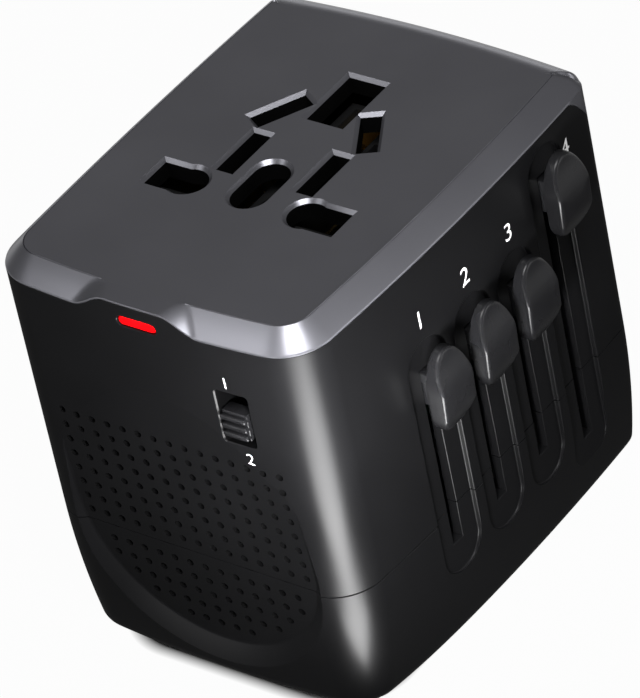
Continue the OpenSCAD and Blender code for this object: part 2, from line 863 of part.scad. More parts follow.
module socket_body() {
    color("#d8d4c8") difference() {
        union() {
            box([-body_half, body_y[0], body_low], [body_half, body_y[1], body_top]);
            box([-tower_half, body_y[1] - cut, tower_low], [tower_half, tower_back, body_top]);
            box([-tower_half, tower_front, tower_low], [tower_half, body_y[1], body_low + cut]);
            for (s = [0, 1]) mirror([s, 0, 0]) {
                box([apron_x[0], apron_front, apron_low], [apron_x[1], body_y[0] + cut, body_top]);
                box([apron_x[0], apron_front, body_top - hair], [apron_x[1], spring_stop, shutter_high]);
                for (y = ear_y) box([body_half - cut, y - ear_r, ear_low], [ear_x, y + ear_r, body_top]);
            }
            at_ears() translate([0, 0, ear_low]) cylinder(h = body_top - ear_low, r = ear_r);
            at_legs() translate([0, 0, board_high]) cylinder(h = body_low - board_high + cut, r = leg_r);
        }
        for (s = [0, 1]) mirror([s, 0, 0])
            box([chamber_in, chamber_y[0], chamber_floor], [chamber_out, chamber_y[1], body_top + cut]);
        box([-earth_chamber[0], earth_chamber[1], earth_floor],
            [earth_chamber[0], earth_chamber[2], body_top + cut]);
        translate([0, centre_slot_y, pocket_floor]) linear_extrude(body_top)
            stadium(centre_slot_size[0] + pocket_spare, centre_slot_size[1] + pocket_spare);
        at_ears() translate([0, 0, ear_low - cut]) cylinder(h = body_top - ear_low + 2 * cut, r = clear_r);
        at_legs() translate([0, 0, board_high - cut]) cylinder(h = leg_pilot + cut, r = small_screw_r);
    }
}

// Spring-brass pressing with leaves beside each pin path; the neutral one is its mirror image
leaf = 0.5;
leaf_foot = 0.6;
leaf_short = 1.2;
leaf_low = chamber_floor + leaf_foot;
leaf_high = body_top - leaf_short;
line_leaf = 2.7;
line_leaf_x = [-15.6, -6.4];
usa_leaf_half = 3.6;
aus_leaf_y = [-3, 2.6];

module line_contact() {
    color(brass) {
        box([gap - chamber_out, chamber_y[0] + gap, chamber_floor],
            [-chamber_in - gap, chamber_y[1] - gap, leaf_low + hair]);
        for (s = [-1, 1]) translate([0, line_y + s * (line_leaf + leaf / 2), 0])
            box([line_leaf_x[0], -leaf / 2, leaf_low], [line_leaf_x[1], leaf / 2, leaf_high]);
        translate([-usa_slot[0] - usa_slot_size[0] / 2 - leaf, usa_slot[1], 0])
            box([0, -usa_leaf_half, leaf_low], [leaf, usa_leaf_half, leaf_high]);
        translate([-aus_slot[0], aus_slot[1], 0]) rotate(-aus_turn)
            box([-aus_slot_size[0] / 2 - leaf, aus_leaf_y[0], leaf_low],
                [-aus_slot_size[0] / 2, aus_leaf_y[1], leaf_high]);
    }
}

module live_contact() { line_contact(); }
module neutral_contact() { mirror([1, 0, 0]) line_contact(); }

earth_leaf_x = 2.75;
earth_leaf_y = [10, 18.4];

module earth_contact() {
    color(brass) {
        for (s = [-1, 1]) translate([s * earth_leaf_x, 0, 0])
            box([-leaf / 2, earth_leaf_y[0], earth_floor], [leaf / 2, earth_leaf_y[1], leaf_high]);
        box([-earth_leaf_x - leaf / 2, earth_leaf_y[1] - leaf / 2, earth_floor],
            [earth_leaf_x + leaf / 2, earth_leaf_y[1] + leaf / 2, leaf_high]);
    }
}

// Two ramped flaps under the current holes, joined by a bar that the springs push back
flap_x = [6, 16];
flap_back = -5.5;
ramp = 2.2;
shutter_bar = [-15, -13.1];

module safety_shutter() {
    color("#e8e4da") {
        for (s = [0, 1]) mirror([s, 0, 0]) translate([flap_x[0], 0, 0]) rotate([90, 0, 90])
            linear_extrude(flap_x[1] - flap_x[0])
                polygon([[shutter_bar[1] - hair, shutter_low], [flap_back, shutter_low],
                    [flap_back - ramp, shutter_high], [shutter_bar[1] - hair, shutter_high]]);
        box([-flap_x[1], shutter_bar[0], shutter_low], [flap_x[1], shutter_bar[1], shutter_high]);
    }
}

// A coil swept along Y: turns of round wire, closed at both ends
spring_r = 0.75;
spring_wire = 0.15;
spring_turns = 7;
turn_steps = 10;
wire_sides = 5;

module coil(length) {
    rings = spring_turns * turn_steps;
    points = [for (i = [0:rings]) let (a = 360 * i / turn_steps, y = length * i / rings)
        for (k = [0:wire_sides - 1]) let (b = 360 * k / wire_sides, r = spring_r + spring_wire * cos(b))
            [r * cos(a), y + spring_wire * sin(b), r * sin(a)]];
    sides = [for (i = [0:rings - 1]) for (k = [0:wire_sides - 1])
        let (a = i * wire_sides + k, b = i * wire_sides + (k + 1) % wire_sides)
        each [[a, b, a + wire_sides], [b, b + wire_sides, a + wire_sides]]];
    polyhedron(points, concat(sides, [[for (k = [wire_sides - 1:-1:0]) k],
        [for (k = [0:wire_sides - 1]) rings * wire_sides + k]]));
}

module shutter_springs() {
    start = spring_stop + spring_wire + hair;
    length = shutter_bar[0] - spring_wire - hair - start;
    color(steel) for (s = [-1, 1])
        translate([s * spring_x, start, (shutter_low + shutter_high) / 2]) coil(length);
}

// Board, notched at the two front screw posts
notch = 3.4;

module main_board() {
    color("#1d5a34") difference() {
        box([board_x[0], board_y[0], board_low], [board_x[1], board_y[1], board_high]);
        for (s = [-1, 1]) translate([s * screw_at[0], -screw_at[1], 0])
            box([-notch, -notch, board_low - cut], [notch, notch, board_high + cut]);
        at_legs() translate([0, 0, board_low - cut])
            cylinder(h = board_high - board_low + 2 * cut, r = clear_r);
    }
}

// Heat sink below the board, with the triac and the thermal cut-out on its face
sink_x = 16.5;
sink_y = [-16.8, -15.4];
sink_low = 5;
fin_clear = [1.5, 2.5];
fin_front = backing_y + fin_clear[0];
fin_top = board_low - fin_clear[1];
fin_first = 7.5;
fin_pitch = 2.66;
fin_thick = 1;
fin_count = 4;

module heat_sink() {
    color("#a9adb2") {
        box([-sink_x, sink_y[0], sink_low], [sink_x, sink_y[1], board_low]);
        for (i = [0:fin_count - 1]) translate([fin_first + i * fin_pitch, 0, 0])
            box([0, fin_front, sink_low], [fin_thick, sink_y[0] + hair, fin_top]);
    }
}

tab_half = 5;
tab_thick = 1.3;
tab_z = [9, 25];
chip_thick = 4.5;
chip_top = 18.5;
triac_lead = [0.8, 0.5];
triac_lead_y = 3;

module triac() {
    face = sink_y[0];
    color("#202124") {
        box([-tab_half, face - tab_thick, tab_z[0]], [tab_half, face, tab_z[1]]);
        box([-tab_half, face - chip_thick, tab_z[0]], [tab_half, face - tab_thick + hair, chip_top]);
    }
    color(steel) for (i = [-1:1]) translate([i * lead_pitch, face - triac_lead_y, 0])
        pin_block(triac_lead, chip_top - hair, board_low);
}

cutout_at = [-11.5, 16];
cutout_r = [4.4, 3];
cutout_h = [3.5, 4.3];
cutout_lead = [1.8, 0.8];
cutout_lead_at = [2.2, 2];
cutout_lead_low = 19.6;

module thermal_cutout() {
    color("#2c3a56") translate([cutout_at[0], 0, cutout_at[1]]) on_front(sink_y[0])
        for (i = [0, 1]) cylinder(h = cutout_h[i], r = cutout_r[i]);
    color(steel) for (s = [-1, 1])
        translate([cutout_at[0] + s * cutout_lead_at[0], sink_y[0] - cutout_lead_at[1], 0])
            pin_block(cutout_lead, cutout_lead_low, board_low);
}

// Ring choke that lies on the board, inside its winding
choke_at = [-11, -20.6];
core_r = [3, 5.7];
core_tall = 5;
winding = 0.9;

module choke_ring(low, grow) {
    tall = core_tall + 2 * grow;
    translate([choke_at[0], choke_at[1], low - grow]) difference() {
        cylinder(h = tall, r = core_r[1] + grow);
        translate([0, 0, -cut]) cylinder(h = tall + 2 * cut, r = core_r[0] - grow);
    }
}

module choke_core() {
    color("#5a5d4c") choke_ring(board_high + winding, 0);
}

module choke_winding() {
    color("#b5652d") difference() {
        choke_ring(board_high + winding, winding);
        choke_ring(board_high + winding, 0);
    }
}

capacitor = [[-1, -20], [12, -14]];
capacitor_tall = 12;

module film_capacitor() {
    color("#8c1f1c") box([capacitor[0][0], capacitor[0][1], board_high],
        [capacitor[1][0], capacitor[1][1], board_high + capacitor_tall]);
}

bridge = [[-19.5, 4], [-9.5, 7.5]];
bridge_z = [1, 8.4];
bridge_lead = [0.6, 0.6];
bridge_lead_x = -18.3;

module bridge_rectifier() {
    color(moulding) box([bridge[0][0], bridge[0][1], board_high + bridge_z[0]],
        [bridge[1][0], bridge[1][1], board_high + bridge_z[1]]);
    color(steel) for (i = [0:3])
        translate([bridge_lead_x + i * lead_pitch, (bridge[0][1] + bridge[1][1]) / 2, 0])
            pin_block(bridge_lead, board_high, board_high + bridge_z[0] + hair);
}

// Tube fuse between two clips that stand on the board
fuse_r = 2.6;
fuse_length = 20;
fuse_up = 3.4;
fuse_y = -4;
clip_x = [6.6, 9.8];
clip_thick = 0.5;
clip_tall = 6;

module fuse() {
    color("#cfd6d8") translate([-fuse_length / 2, fuse_y, board_high + fuse_up]) rotate([0, 90, 0])
        cylinder(h = fuse_length, r = fuse_r);
}

module fuse_clips() {
    out = fuse_r + clip_thick;
    color(brass) for (s = [0, 1]) mirror([s, 0, 0]) translate([0, fuse_y, board_high]) {
        box([clip_x[0], -out, 0], [clip_x[1], out, clip_thick]);
        for (t = [0, 1]) mirror([0, t, 0])
            box([clip_x[0], fuse_r, 0], [clip_x[1], out, clip_tall]);
    }
}

// Current rails: a tall strip beside the carriages with a foot on the board
rail_in = [4.2, 4.8, 6.6];
rail_x = rail_in - [half_w, half_w, half_w];
rail_low = 6;
rail_thick = rail_x[1] - rail_x[0];
rail_width = 7;
rail_foot = 3;

module rail(y) {
    color(brass) {
        box([rail_x[0], y, rail_low], [rail_x[1], y + rail_width, board_high + rail_thick]);
        box([rail_x[0], y, board_high], [rail_x[2], y + rail_foot, board_high + rail_thick]);
    }
}

module live_rail() { rail(-13); }
module neutral_rail() { rail(-1); }

cap_screw_short = 0.3;
board_screw_in = 6;

module screw(r, head, seat, top) {
    translate([0, 0, seat - small_head]) cylinder(h = small_head, r = head);
    translate([0, 0, seat - hair]) cylinder(h = top - seat + hair, r = r);
}

module case_screws() {
    color(steel) at_case_screws() screw(screw_r, head_r, screw_seat, screw_top);
}

module cap_screws() {
    color(steel) at_ears() screw(small_screw_r, small_head_r, ear_low, cap_low - cap_screw_short);
}

module board_screws() {
    color(steel) at_legs() screw(small_screw_r, small_head_r, board_low, board_high + board_screw_in);
}

top_cap();
upper_case();
lower_case();
led_lens();
indicator_led();
mode_switch_knob();
mode_switch_body();
uk_slider_knob();
aus_slider_knob();
usa_slider_knob();
eu_slider_knob();
uk_carriage();
aus_carriage();
usa_carriage();
eu_carriage();
uk_line_pins();
uk_pin_sleeves();
uk_earth_pin();
aus_blades();
usa_blades();
eu_pins();
eu_pin_sleeves();
socket_body();
live_contact();
neutral_contact();
earth_contact();
safety_shutter();
shutter_springs();
main_board();
heat_sink();
triac();
thermal_cutout();
choke_core();
choke_winding();
film_capacitor();
bridge_rectifier();
fuse();
fuse_clips();
live_rail();
neutral_rail();
case_screws();
cap_screws();
board_screws();
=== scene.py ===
"""Looks of the travel voltage converter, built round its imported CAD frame.

Lengths in this file are millimetres in the part's own frame until a mesh is made: origin at the
centre of the flat foot, +Z up, -Y the grille face, +X the slider face.
"""

import json
import math

import bmesh
import bpy
import numpy as np
from mathutils import Matrix, Vector
from mathutils.bvhtree import BVHTree

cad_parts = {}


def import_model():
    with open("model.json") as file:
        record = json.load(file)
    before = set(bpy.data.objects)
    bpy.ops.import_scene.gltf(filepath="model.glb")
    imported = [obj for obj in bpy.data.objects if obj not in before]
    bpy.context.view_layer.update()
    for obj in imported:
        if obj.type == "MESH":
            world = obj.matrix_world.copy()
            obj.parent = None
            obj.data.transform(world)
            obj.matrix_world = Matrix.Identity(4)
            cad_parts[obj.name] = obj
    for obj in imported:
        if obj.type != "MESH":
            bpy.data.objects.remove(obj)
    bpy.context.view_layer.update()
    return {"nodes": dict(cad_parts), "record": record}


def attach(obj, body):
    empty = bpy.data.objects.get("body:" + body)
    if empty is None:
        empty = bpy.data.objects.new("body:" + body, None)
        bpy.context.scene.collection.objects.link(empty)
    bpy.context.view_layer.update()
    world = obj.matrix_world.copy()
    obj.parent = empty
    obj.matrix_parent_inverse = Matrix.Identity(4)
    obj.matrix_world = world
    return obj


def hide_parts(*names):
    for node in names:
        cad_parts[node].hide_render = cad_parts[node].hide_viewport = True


MM = 0.001

# Body sizes, the same as the CAD's
HALF_W, HALF_D, HEIGHT = 26.0, 33.2, 63.0
SEAM, CAP_LOW = 21.1, 60.1
CORNER_R, BACK_R, TIGHT_R, WALL = 7.0, 2.2, 0.8, 2.2
SIDE_BOW, FRONT_BOW, BACK_BOW = 0.5, 0.8, 1.2
FOOT_TAPER, FOOT_ROUND, FOOT_PULL = 1.8, 2.5, 0.5
EDGE_ROUND, SHELL_IN, SHELL_FRONT = 0.05, 2.3, -28.9
FRONT_END, BACK_END, LEFT_END = HALF_D - FRONT_BOW, HALF_D - BACK_BOW, HALF_W - SIDE_BOW
# The slider face swells a little more, and leans out towards the back
RIGHT_MID, RIGHT_LEAN, RIGHT_BOW = 25.3, 0.2, 0.9


# Plan outline
ARC_STEPS, BACK_ARC_STEPS, SIDE_STEPS, FRONT_STEPS, BACK_STEPS = 32, 16, 140, 103, 130
FRONT_Y = FRONT_END - CORNER_R
BACK_Y = BACK_END - BACK_R


def side_x(y):
    """How far the slider face stands out at a place along it."""
    t = np.clip((2 * np.asarray(y, float) - BACK_Y + FRONT_Y) / (BACK_Y + FRONT_Y), -1, 1)
    return RIGHT_MID + RIGHT_LEAN * t + RIGHT_BOW * (1 - t * t)


def front_y(x):
    """Where the bowed grille face lies at a place across it."""
    t = np.clip(np.asarray(x, float) / (LEFT_END - CORNER_R), -1, 1)
    return -(HALF_D - FRONT_BOW * t * t)


def raw_outline(inset):
    """The plan outline drawn in by inset, counter-clockwise from the slider face's back end."""
    r, b = CORNER_R - inset, max(BACK_R - inset, TIGHT_R)
    right = (side_x(-FRONT_Y), side_x(BACK_Y))
    back_y = BACK_END - inset - b
    points = []

    def arc(x, y, radius, start, steps):
        for a in np.radians(start + 90 * np.arange(steps) / steps):
            points.append((x + radius * math.cos(a), y + radius * math.sin(a)))

    def share(steps):
        return np.arange(steps) / steps

    arc(right[1] - inset - b, back_y, b, 0, BACK_ARC_STEPS)
    for u in share(BACK_STEPS):
        x = (right[1] - inset - b) * (1 - u) - (LEFT_END - inset - b) * u
        points.append((x, back_y + b + BACK_BOW * (1 - (1 - 2 * u) ** 2)))
    arc(-LEFT_END + inset + b, back_y, b, 90, BACK_ARC_STEPS)
    for u in share(SIDE_STEPS):
        points.append((-LEFT_END + inset - SIDE_BOW * (1 - (1 - 2 * u) ** 2), back_y * (1 - u) - FRONT_Y * u))
    arc(-LEFT_END + CORNER_R, -FRONT_Y, r, 180, ARC_STEPS)
    for u in share(FRONT_STEPS):
        x = (-LEFT_END + CORNER_R) * (1 - u) + (right[0] - CORNER_R) * u
        points.append((x, -FRONT_Y - r - FRONT_BOW * (1 - (1 - 2 * u) ** 2)))
    arc(right[0] - CORNER_R, -FRONT_Y, r, 270, ARC_STEPS)
    for u in share(SIDE_STEPS):
        t = 2 * u - 1
        x = RIGHT_MID + RIGHT_LEAN * t + RIGHT_BOW * (1 - t * t) - inset
        points.append((x, -FRONT_Y * (1 - u) + back_y * u))
    return np.array(points)


def softened(p, keep, reach=9, width=2.6):
    """Evens out the joins of a closed line, except where keep is 1."""
    steps = np.arange(-reach, reach + 1)
    kernel = np.exp(-0.5 * (steps / width) ** 2)
    kernel /= kernel.sum()
    soft = sum(w * np.roll(p, k, axis=0) for k, w in zip(steps, kernel))
    return soft * (1 - keep[:, None]) + p * keep[:, None]


INSET_STEP, INSET_MOST = 0.25, 8.01
RING_INSETS = np.arange(0, INSET_MOST, INSET_STEP)


def all_rings():
    """The softened outline at each inset. The front crease and tight back corners stay crisp."""
    first = raw_outline(0)
    crease = np.array([side_x(-FRONT_Y), -FRONT_Y])
    crease_reach, corner_reach, corner_keep = 2.5, 3, 0.75
    corner = (24.2, 30.6)
    keep = np.exp(-(np.hypot(*(first - crease).T) / crease_reach) ** 2)
    tight = np.hypot(np.abs(first[:, 0]) - corner[0], first[:, 1] - corner[1])
    keep = np.maximum(keep, corner_keep * np.exp(-(tight / corner_reach) ** 2))
    return np.array([softened(raw_outline(d), keep) for d in RING_INSETS])


RINGS = all_rings()
RING = RINGS[0]


def ring_out():
    """The outward direction at each point of the outline."""
    along = np.roll(RING, -1, axis=0) - np.roll(RING, 1, axis=0)
    along /= np.hypot(*along.T)[:, None]
    return np.column_stack([along[:, 1], -along[:, 0]])


RING_OUT = ring_out()


def ring(inset, z):
    """Points of the outline drawn in by inset (number or one per point) at height z."""
    inset = np.broadcast_to(np.asarray(inset, float), len(RING))
    z = np.broadcast_to(np.asarray(z, float), len(RING))
    place = np.clip(inset / INSET_STEP, 0, len(RING_INSETS) - 1.001)
    low = place.astype(int)
    share = (place - low)[:, None]
    each = np.arange(len(RING))
    xy = RINGS[low, each] * (1 - share) + RINGS[low + 1, each] * share
    return np.column_stack([xy, z])


# Meshes
def mesh_from(name, verts, faces):
    mesh = bpy.data.meshes.new(name)
    mesh.from_pydata((np.asarray(verts, float) * MM).tolist(), [], faces)
    mesh.validate()
    return mesh


def object_of(name, mesh, material=None):
    obj = bpy.data.objects.new(name, mesh)
    bpy.context.scene.collection.objects.link(obj)
    if material:
        mesh.materials.clear()
        mesh.materials.append(material)
    return obj


def tube_faces(count, rows):
    """Quads between successive rings of count points."""
    faces = []
    for r in range(rows - 1):
        for i in range(count):
            j = (i + 1) % count
            faces.append([r * count + i, r * count + j, (r + 1) * count + j, (r + 1) * count + i])
    return faces


def solid_of(rings):
    """A closed solid through rings of equal length, with a flat face at both ends."""
    rings = [np.asarray(r, float) for r in rings]
    count = len(rings[0])
    faces = tube_faces(count, len(rings))
    low = list(range(count))
    high = [(len(rings) - 1) * count + i for i in range(count)]
    faces += [low[::-1], high]
    return np.vstack(rings), faces


def smooth(mesh, angle=30):
    mesh.shade_smooth()
    mesh.set_sharp_from_angle(angle=math.radians(angle))


def outward(mesh):
    """Turns every face of a closed mesh outwards."""
    bm = bmesh.new()
    bm.from_mesh(mesh)
    bmesh.ops.recalc_face_normals(bm, faces=bm.faces)
    bm.to_mesh(mesh)
    bm.free()


def joined(parts):
    """One list of vertices and faces out of several."""
    verts, faces, at = [], [], 0
    for v, f in parts:
        verts.append(np.asarray(v, float))
        faces += [[i + at for i in face] for face in f]
        at += len(v)
    return np.vstack(verts), faces


class Skin:
    """A clean surface that a cut mesh takes its shading from."""

    def __init__(self, mesh):
        mesh.calc_loop_triangles()
        self.co = [v.co.copy() for v in mesh.vertices]
        self.tris = [tuple(t.vertices) for t in mesh.loop_triangles]
        self.loops = [tuple(t.loops) for t in mesh.loop_triangles]
        self.normals = [Vector(n.vector) for n in mesh.corner_normals]
        self.tree = BVHTree.FromPolygons(self.co, self.tris)

    def nearest(self, point):
        return self.tree.find_nearest(point)

    def normal(self, tri, point):
        """The skin's shading normal at a point of one of its triangles."""
        a, b, c = (self.co[i] for i in self.tris[tri])
        ab, ac, ap = b - a, c - a, point - a
        d00, d01, d11 = ab.dot(ab), ab.dot(ac), ac.dot(ac)
        d20, d21 = ap.dot(ab), ap.dot(ac)
        denom = d00 * d11 - d01 * d01
        if abs(denom) < 1e-24:
            return self.normals[self.loops[tri][0]].copy()
        v = min(max((d11 * d20 - d01 * d21) / denom, 0), 1)
        w = min(max((d00 * d21 - d01 * d20) / denom, 0), 1 - v)
        n = [self.normals[i] for i in self.loops[tri]]
        return n[0] * (1 - v - w) + n[1] * v + n[2] * w


def carve(name, base, cutter_groups):
    """Cuts groups of cutters out of a base and keeps the clean shading of every surface.

    base and each cutter are (verts, faces); the cutters of one group don't touch each other.
    """
    base_mesh = mesh_from(name + "_base", *base)
    outward(base_mesh)
    smooth(base_mesh)
    skins = [Skin(base_mesh)]
    work = object_of(name + "_work", base_mesh)
    helpers = []
    for k, group in enumerate(cutter_groups):
        mesh = mesh_from(f"{name}_cut{k}", *joined(group))
        outward(mesh)
        smooth(mesh)
        skins.append(Skin(mesh))
        tool = object_of(f"{name}_tool{k}", mesh)
        helpers.append(tool)
        mod = work.modifiers.new(f"cut{k}", "BOOLEAN")
        mod.operation, mod.solver, mod.object = "DIFFERENCE", "EXACT", tool
    work.modifiers.new("tri", "TRIANGULATE")
    graph = bpy.context.evaluated_depsgraph_get()
    cut = bpy.data.meshes.new_from_object(work.evaluated_get(graph), depsgraph=graph)
    for o in [work] + helpers:
        data = o.data
        bpy.data.objects.remove(o)
        bpy.data.meshes.remove(data)
    cut.name = name
    shade_from(cut, skins)
    return cut


FLAT_UP, SAME_WAY, ON_SKIN = 0.9995, 0.8, 5e-5


def nearest_skin(skins, centre, face_normal):
    """The skin that a face was cut from: its distance, itself and which way the face looks."""
    best = None
    for skin in skins:
        place, direction, _, dist = skin.nearest(centre)
        if place is None or abs(direction.dot(face_normal)) < SAME_WAY:
            continue
        if best is None or dist < best[0]:
            best = (dist, skin, 1 if direction.dot(face_normal) > 0 else -1)
    return best


def shade_from(mesh, skins):
    """Gives each face the shading of the surface it lies on. Level faces stay flat."""
    mesh.shade_smooth()
    co = [v.co.copy() for v in mesh.vertices]
    normals = [None] * len(mesh.loops)
    for poly in mesh.polygons:
        centre, face_normal = poly.center, poly.normal
        if face_normal.z > FLAT_UP:
            for li in poly.loop_indices:
                normals[li] = face_normal.copy()
            continue
        best = nearest_skin(skins, centre, face_normal)
        for li in poly.loop_indices:
            p = co[mesh.loops[li].vertex_index]
            n = face_normal.copy()
            if best and best[0] < ON_SKIN:
                q = p.lerp(centre, 0.02)
                _, _, tri, _ = best[1].nearest(q)
                m = best[1].normal(tri, p) * best[2]
                if m.dot(face_normal) > 0.3:
                    n = m.normalized()
            normals[li] = n
    mesh.normals_split_custom_set(normals)


# Outlines of cuts
def stadium(width, length, steps=14):
    """Points of a stadium, long side along the second axis, counter-clockwise."""
    r = width / 2
    up = length / 2 - r
    top = [(r * math.cos(a), up + r * math.sin(a)) for a in np.linspace(0, math.pi, steps)]
    low = [(r * math.cos(a), -up + r * math.sin(a)) for a in np.linspace(math.pi, 2 * math.pi, steps)]
    return np.array(top + low)


def lying_stadium(height, length, steps):
    """Points of a stadium, long side along the first axis."""
    return stadium(height, length, steps)[:, ::-1][::-1]


def rectangle(width, length):
    x, y = width / 2, length / 2
    return np.array([(x, -y), (x, y), (-x, y), (-x, -y)])


def round_cornered(width, length, radius, steps=6):
    x, y = width / 2 - radius, length / 2 - radius
    points = []
    for k, (cx, cy) in enumerate(((x, -y), (x, y), (-x, y), (-x, -y))):
        for a in np.radians(90 * (k - 1) + np.linspace(0, 90, steps)):
            points.append((cx + radius * math.cos(a), cy + radius * math.sin(a)))
    return np.array(points)


def grown(points, by):
    """A closed counter-clockwise line moved outwards, with mitred corners."""
    p = np.asarray(points, float)
    ahead = np.roll(p, -1, axis=0) - p
    ahead /= np.hypot(*ahead.T)[:, None]
    back = np.roll(ahead, 1, axis=0)
    n1 = np.column_stack([back[:, 1], -back[:, 0]])
    n2 = np.column_stack([ahead[:, 1], -ahead[:, 0]])
    m = n1 + n2
    m /= np.maximum((m * n1).sum(1), 0.2)[:, None]
    return p + by * m


def turned(points, degrees, move):
    """Points turned about their origin, then moved."""
    a = math.radians(degrees)
    m = np.array([[math.cos(a), math.sin(a)], [-math.sin(a), math.cos(a)]])
    return np.asarray(points) @ m + np.asarray(move)


def cutter_up(outline, levels):
    """A cutter along Z: levels of (height, growth)."""
    return solid_of([np.column_stack([grown(outline, g), np.full(len(outline), z)]) for z, g in levels])


def cutter_front(outline, levels):
    """A cutter drawn on the grille face (x, z), levels of (y, growth) from the back forwards."""
    rings = []
    for y, g in levels:
        q = grown(outline, g)
        rings.append(np.column_stack([q[:, 0], np.full(len(q), y), q[:, 1]]))
    return solid_of(rings)


def cutter_side(outline, levels):
    """A cutter drawn on the slider face (y, z), levels of (depth from the face, growth)."""
    rings = []
    for d, g in levels:
        q = grown(outline, g)
        rings.append(np.column_stack([side_x(q[:, 0]) + d, q[:, 0], q[:, 1]]))
    return solid_of(rings)


# Cap
TONGUE_LOW, TONGUE_TOP = (-10.8, 9.6), (-4.9, 3.5)
PLATE_TONGUE_LOW, PLATE_TONGUE_TOP = (-8.4, 7.1), (-6.0, 4.7)
TONGUE_HIGH = 62.45
LIP = 0.32
BEVEL_IN, BEVEL_SWELL = 2.85, 0.03
ROLL_IN = 3.6
GROOVE_DEEP = 0.16


def s_share(x, low, top):
    """0 outside the tongue, 1 over its middle, a cosine curve between."""
    left = np.clip((x - low[0]) / (top[0] - low[0]), 0, 1)
    right = np.clip((low[1] - x) / (low[1] - top[1]), 0, 1)
    return (1 - np.cos(np.pi * np.minimum(left, right))) / 2


def on_front_side():
    """Which points of the outline lie on the grille face."""
    return (RING_OUT[:, 1] < -0.9) & (np.abs(RING[:, 0]) < 17)


BACK_DIP, DIP_START = 6.0, 26.5


def lip_height():
    """Height of the cap's lower edge: up over the tongue, and down round the back corners."""
    share = np.where(on_front_side(), s_share(RING[:, 0], TONGUE_LOW, TONGUE_TOP), 0)
    x, y = np.abs(RING[:, 0]), RING[:, 1]
    turn = np.clip(np.arctan2(y - BACK_Y, x - (LEFT_END - BACK_R)), 0, math.pi / 2)
    run = np.minimum(y, BACK_Y) - DIP_START + np.where(y > BACK_Y, turn, 0) * BACK_R
    near = np.clip(run / (BACK_Y - DIP_START + BACK_R * math.pi / 2), 0, 1)
    return CAP_LOW + (TONGUE_HIGH - CAP_LOW) * share - BACK_DIP * near * near * (3 - 2 * near)


def cap_rows():
    """Rings of the cap from its lower edge to the edge of the plate."""
    lip = lip_height()
    back = np.clip((RING_OUT[:, 1] - 0.75) / 0.24, 0, 1)
    back = back * back * (3 - 2 * back)
    front = on_front_side()
    rows = [ring(0.25, lip), ring(0.06, lip + 0.02), ring(0, lip + 0.1), ring(0, lip + 0.2)]
    start = EDGE_ROUND
    for u in np.linspace(0, 1, 26):
        swell = u + BEVEL_SWELL * math.sin(math.pi * u)
        bevel_in = start + (BEVEL_IN - start) * u
        bevel_z = CAP_LOW + LIP + (HEIGHT - CAP_LOW - LIP) * swell
        a = u * math.pi / 2
        roll_in = ROLL_IN * (1 - math.cos(a)) + start
        roll_z = CAP_LOW + LIP + (HEIGHT - CAP_LOW - LIP) * math.sin(a)
        inset = (1 - back) * bevel_in + back * roll_in
        z = (1 - back) * bevel_z + back * roll_z
        low = tuple(np.interp(u, (0, 1), ends) for ends in zip(TONGUE_LOW, PLATE_TONGUE_LOW))
        top = tuple(np.interp(u, (0, 1), ends) for ends in zip(TONGUE_TOP, PLATE_TONGUE_TOP))
        plateau = TONGUE_HIGH + LIP + (HEIGHT - TONGUE_HIGH - LIP) * u
        share = np.where(front, s_share(RING[:, 0], low, top), 0)
        z = z + (plateau - z) * share
        rows.append(ring(inset, z))
    off_tongue = np.where(front, 1 - s_share(RING[:, 0], PLATE_TONGUE_LOW, PLATE_TONGUE_TOP), 1)
    groove = GROOVE_DEEP * (1 - back) * off_tongue
    rows.append(ring(inset + 0.1, HEIGHT - groove))
    rows.append(ring(inset + 0.2, HEIGHT))
    return rows


OPEN_CHAMFER, SOCKET_DEEP = 0.5, 8
FLAT_PIN_HALF, FLAT_PIN_OUT = 2.45, 14.9
ROUND_PIN_R, ROUND_PIN_AT = 2.75, 9.5


def socket_outlines():
    """The plate's openings in two groups, so that no two chamfers of one group meet."""
    round_ones, straight = [], []
    for s in (-1, 1):
        a0 = math.asin(FLAT_PIN_HALF / ROUND_PIN_R)
        arc = [(ROUND_PIN_AT + ROUND_PIN_R * math.cos(a), ROUND_PIN_R * math.sin(a))
               for a in np.linspace(a0, 2 * math.pi - a0, 26)]
        right = np.array([(FLAT_PIN_OUT, -FLAT_PIN_HALF), (FLAT_PIN_OUT, FLAT_PIN_HALF)] + arc)
        line = right if s > 0 else (right * (-1, 1))[::-1]
        round_ones.append(line + (0, -8.55))
        round_ones.append(turned(rectangle(2.84, 8), s * 30, (s * 6.94, 8.9)))
        straight.append(rectangle(2.66, 8.6) + (s * 6.35, -0.64))
    straight.append(rectangle(5.8, 9.9) + (0, 13.65))
    round_ones.append(stadium(5.2, 10, 20) + (0, -5.7))
    return round_ones, straight


def top_cap_mesh():
    rows = cap_rows()
    lip = lip_height()
    under = [ring(SHELL_IN, CAP_LOW), ring(SHELL_IN, np.minimum(lip, CAP_LOW) + 0.01)]
    base = solid_of(under + rows)
    c, over = OPEN_CHAMFER, 0.05
    levels = [(CAP_LOW - SOCKET_DEEP, 0), (HEIGHT - c, 0), (HEIGHT + over, c + over)]
    return carve("top_cap", base, [[cutter_up(s, levels) for s in group] for group in socket_outlines()])


# Cases
PANEL_LOW, PANEL_Y, PANEL_LEAN, PANEL_R = 5.7, -30.5, 3.58, 19.4
GRILLE_PITCH, GRILLE_HOLE = 2.49, 1.1
UPPER_ROWS = [(23.0 + GRILLE_PITCH * r, 15) for r in range(8)]
LOWER_ROWS = [(18.7 - GRILLE_PITCH * r, n) for r, n in enumerate((13, 13, 11, 9, 5))]
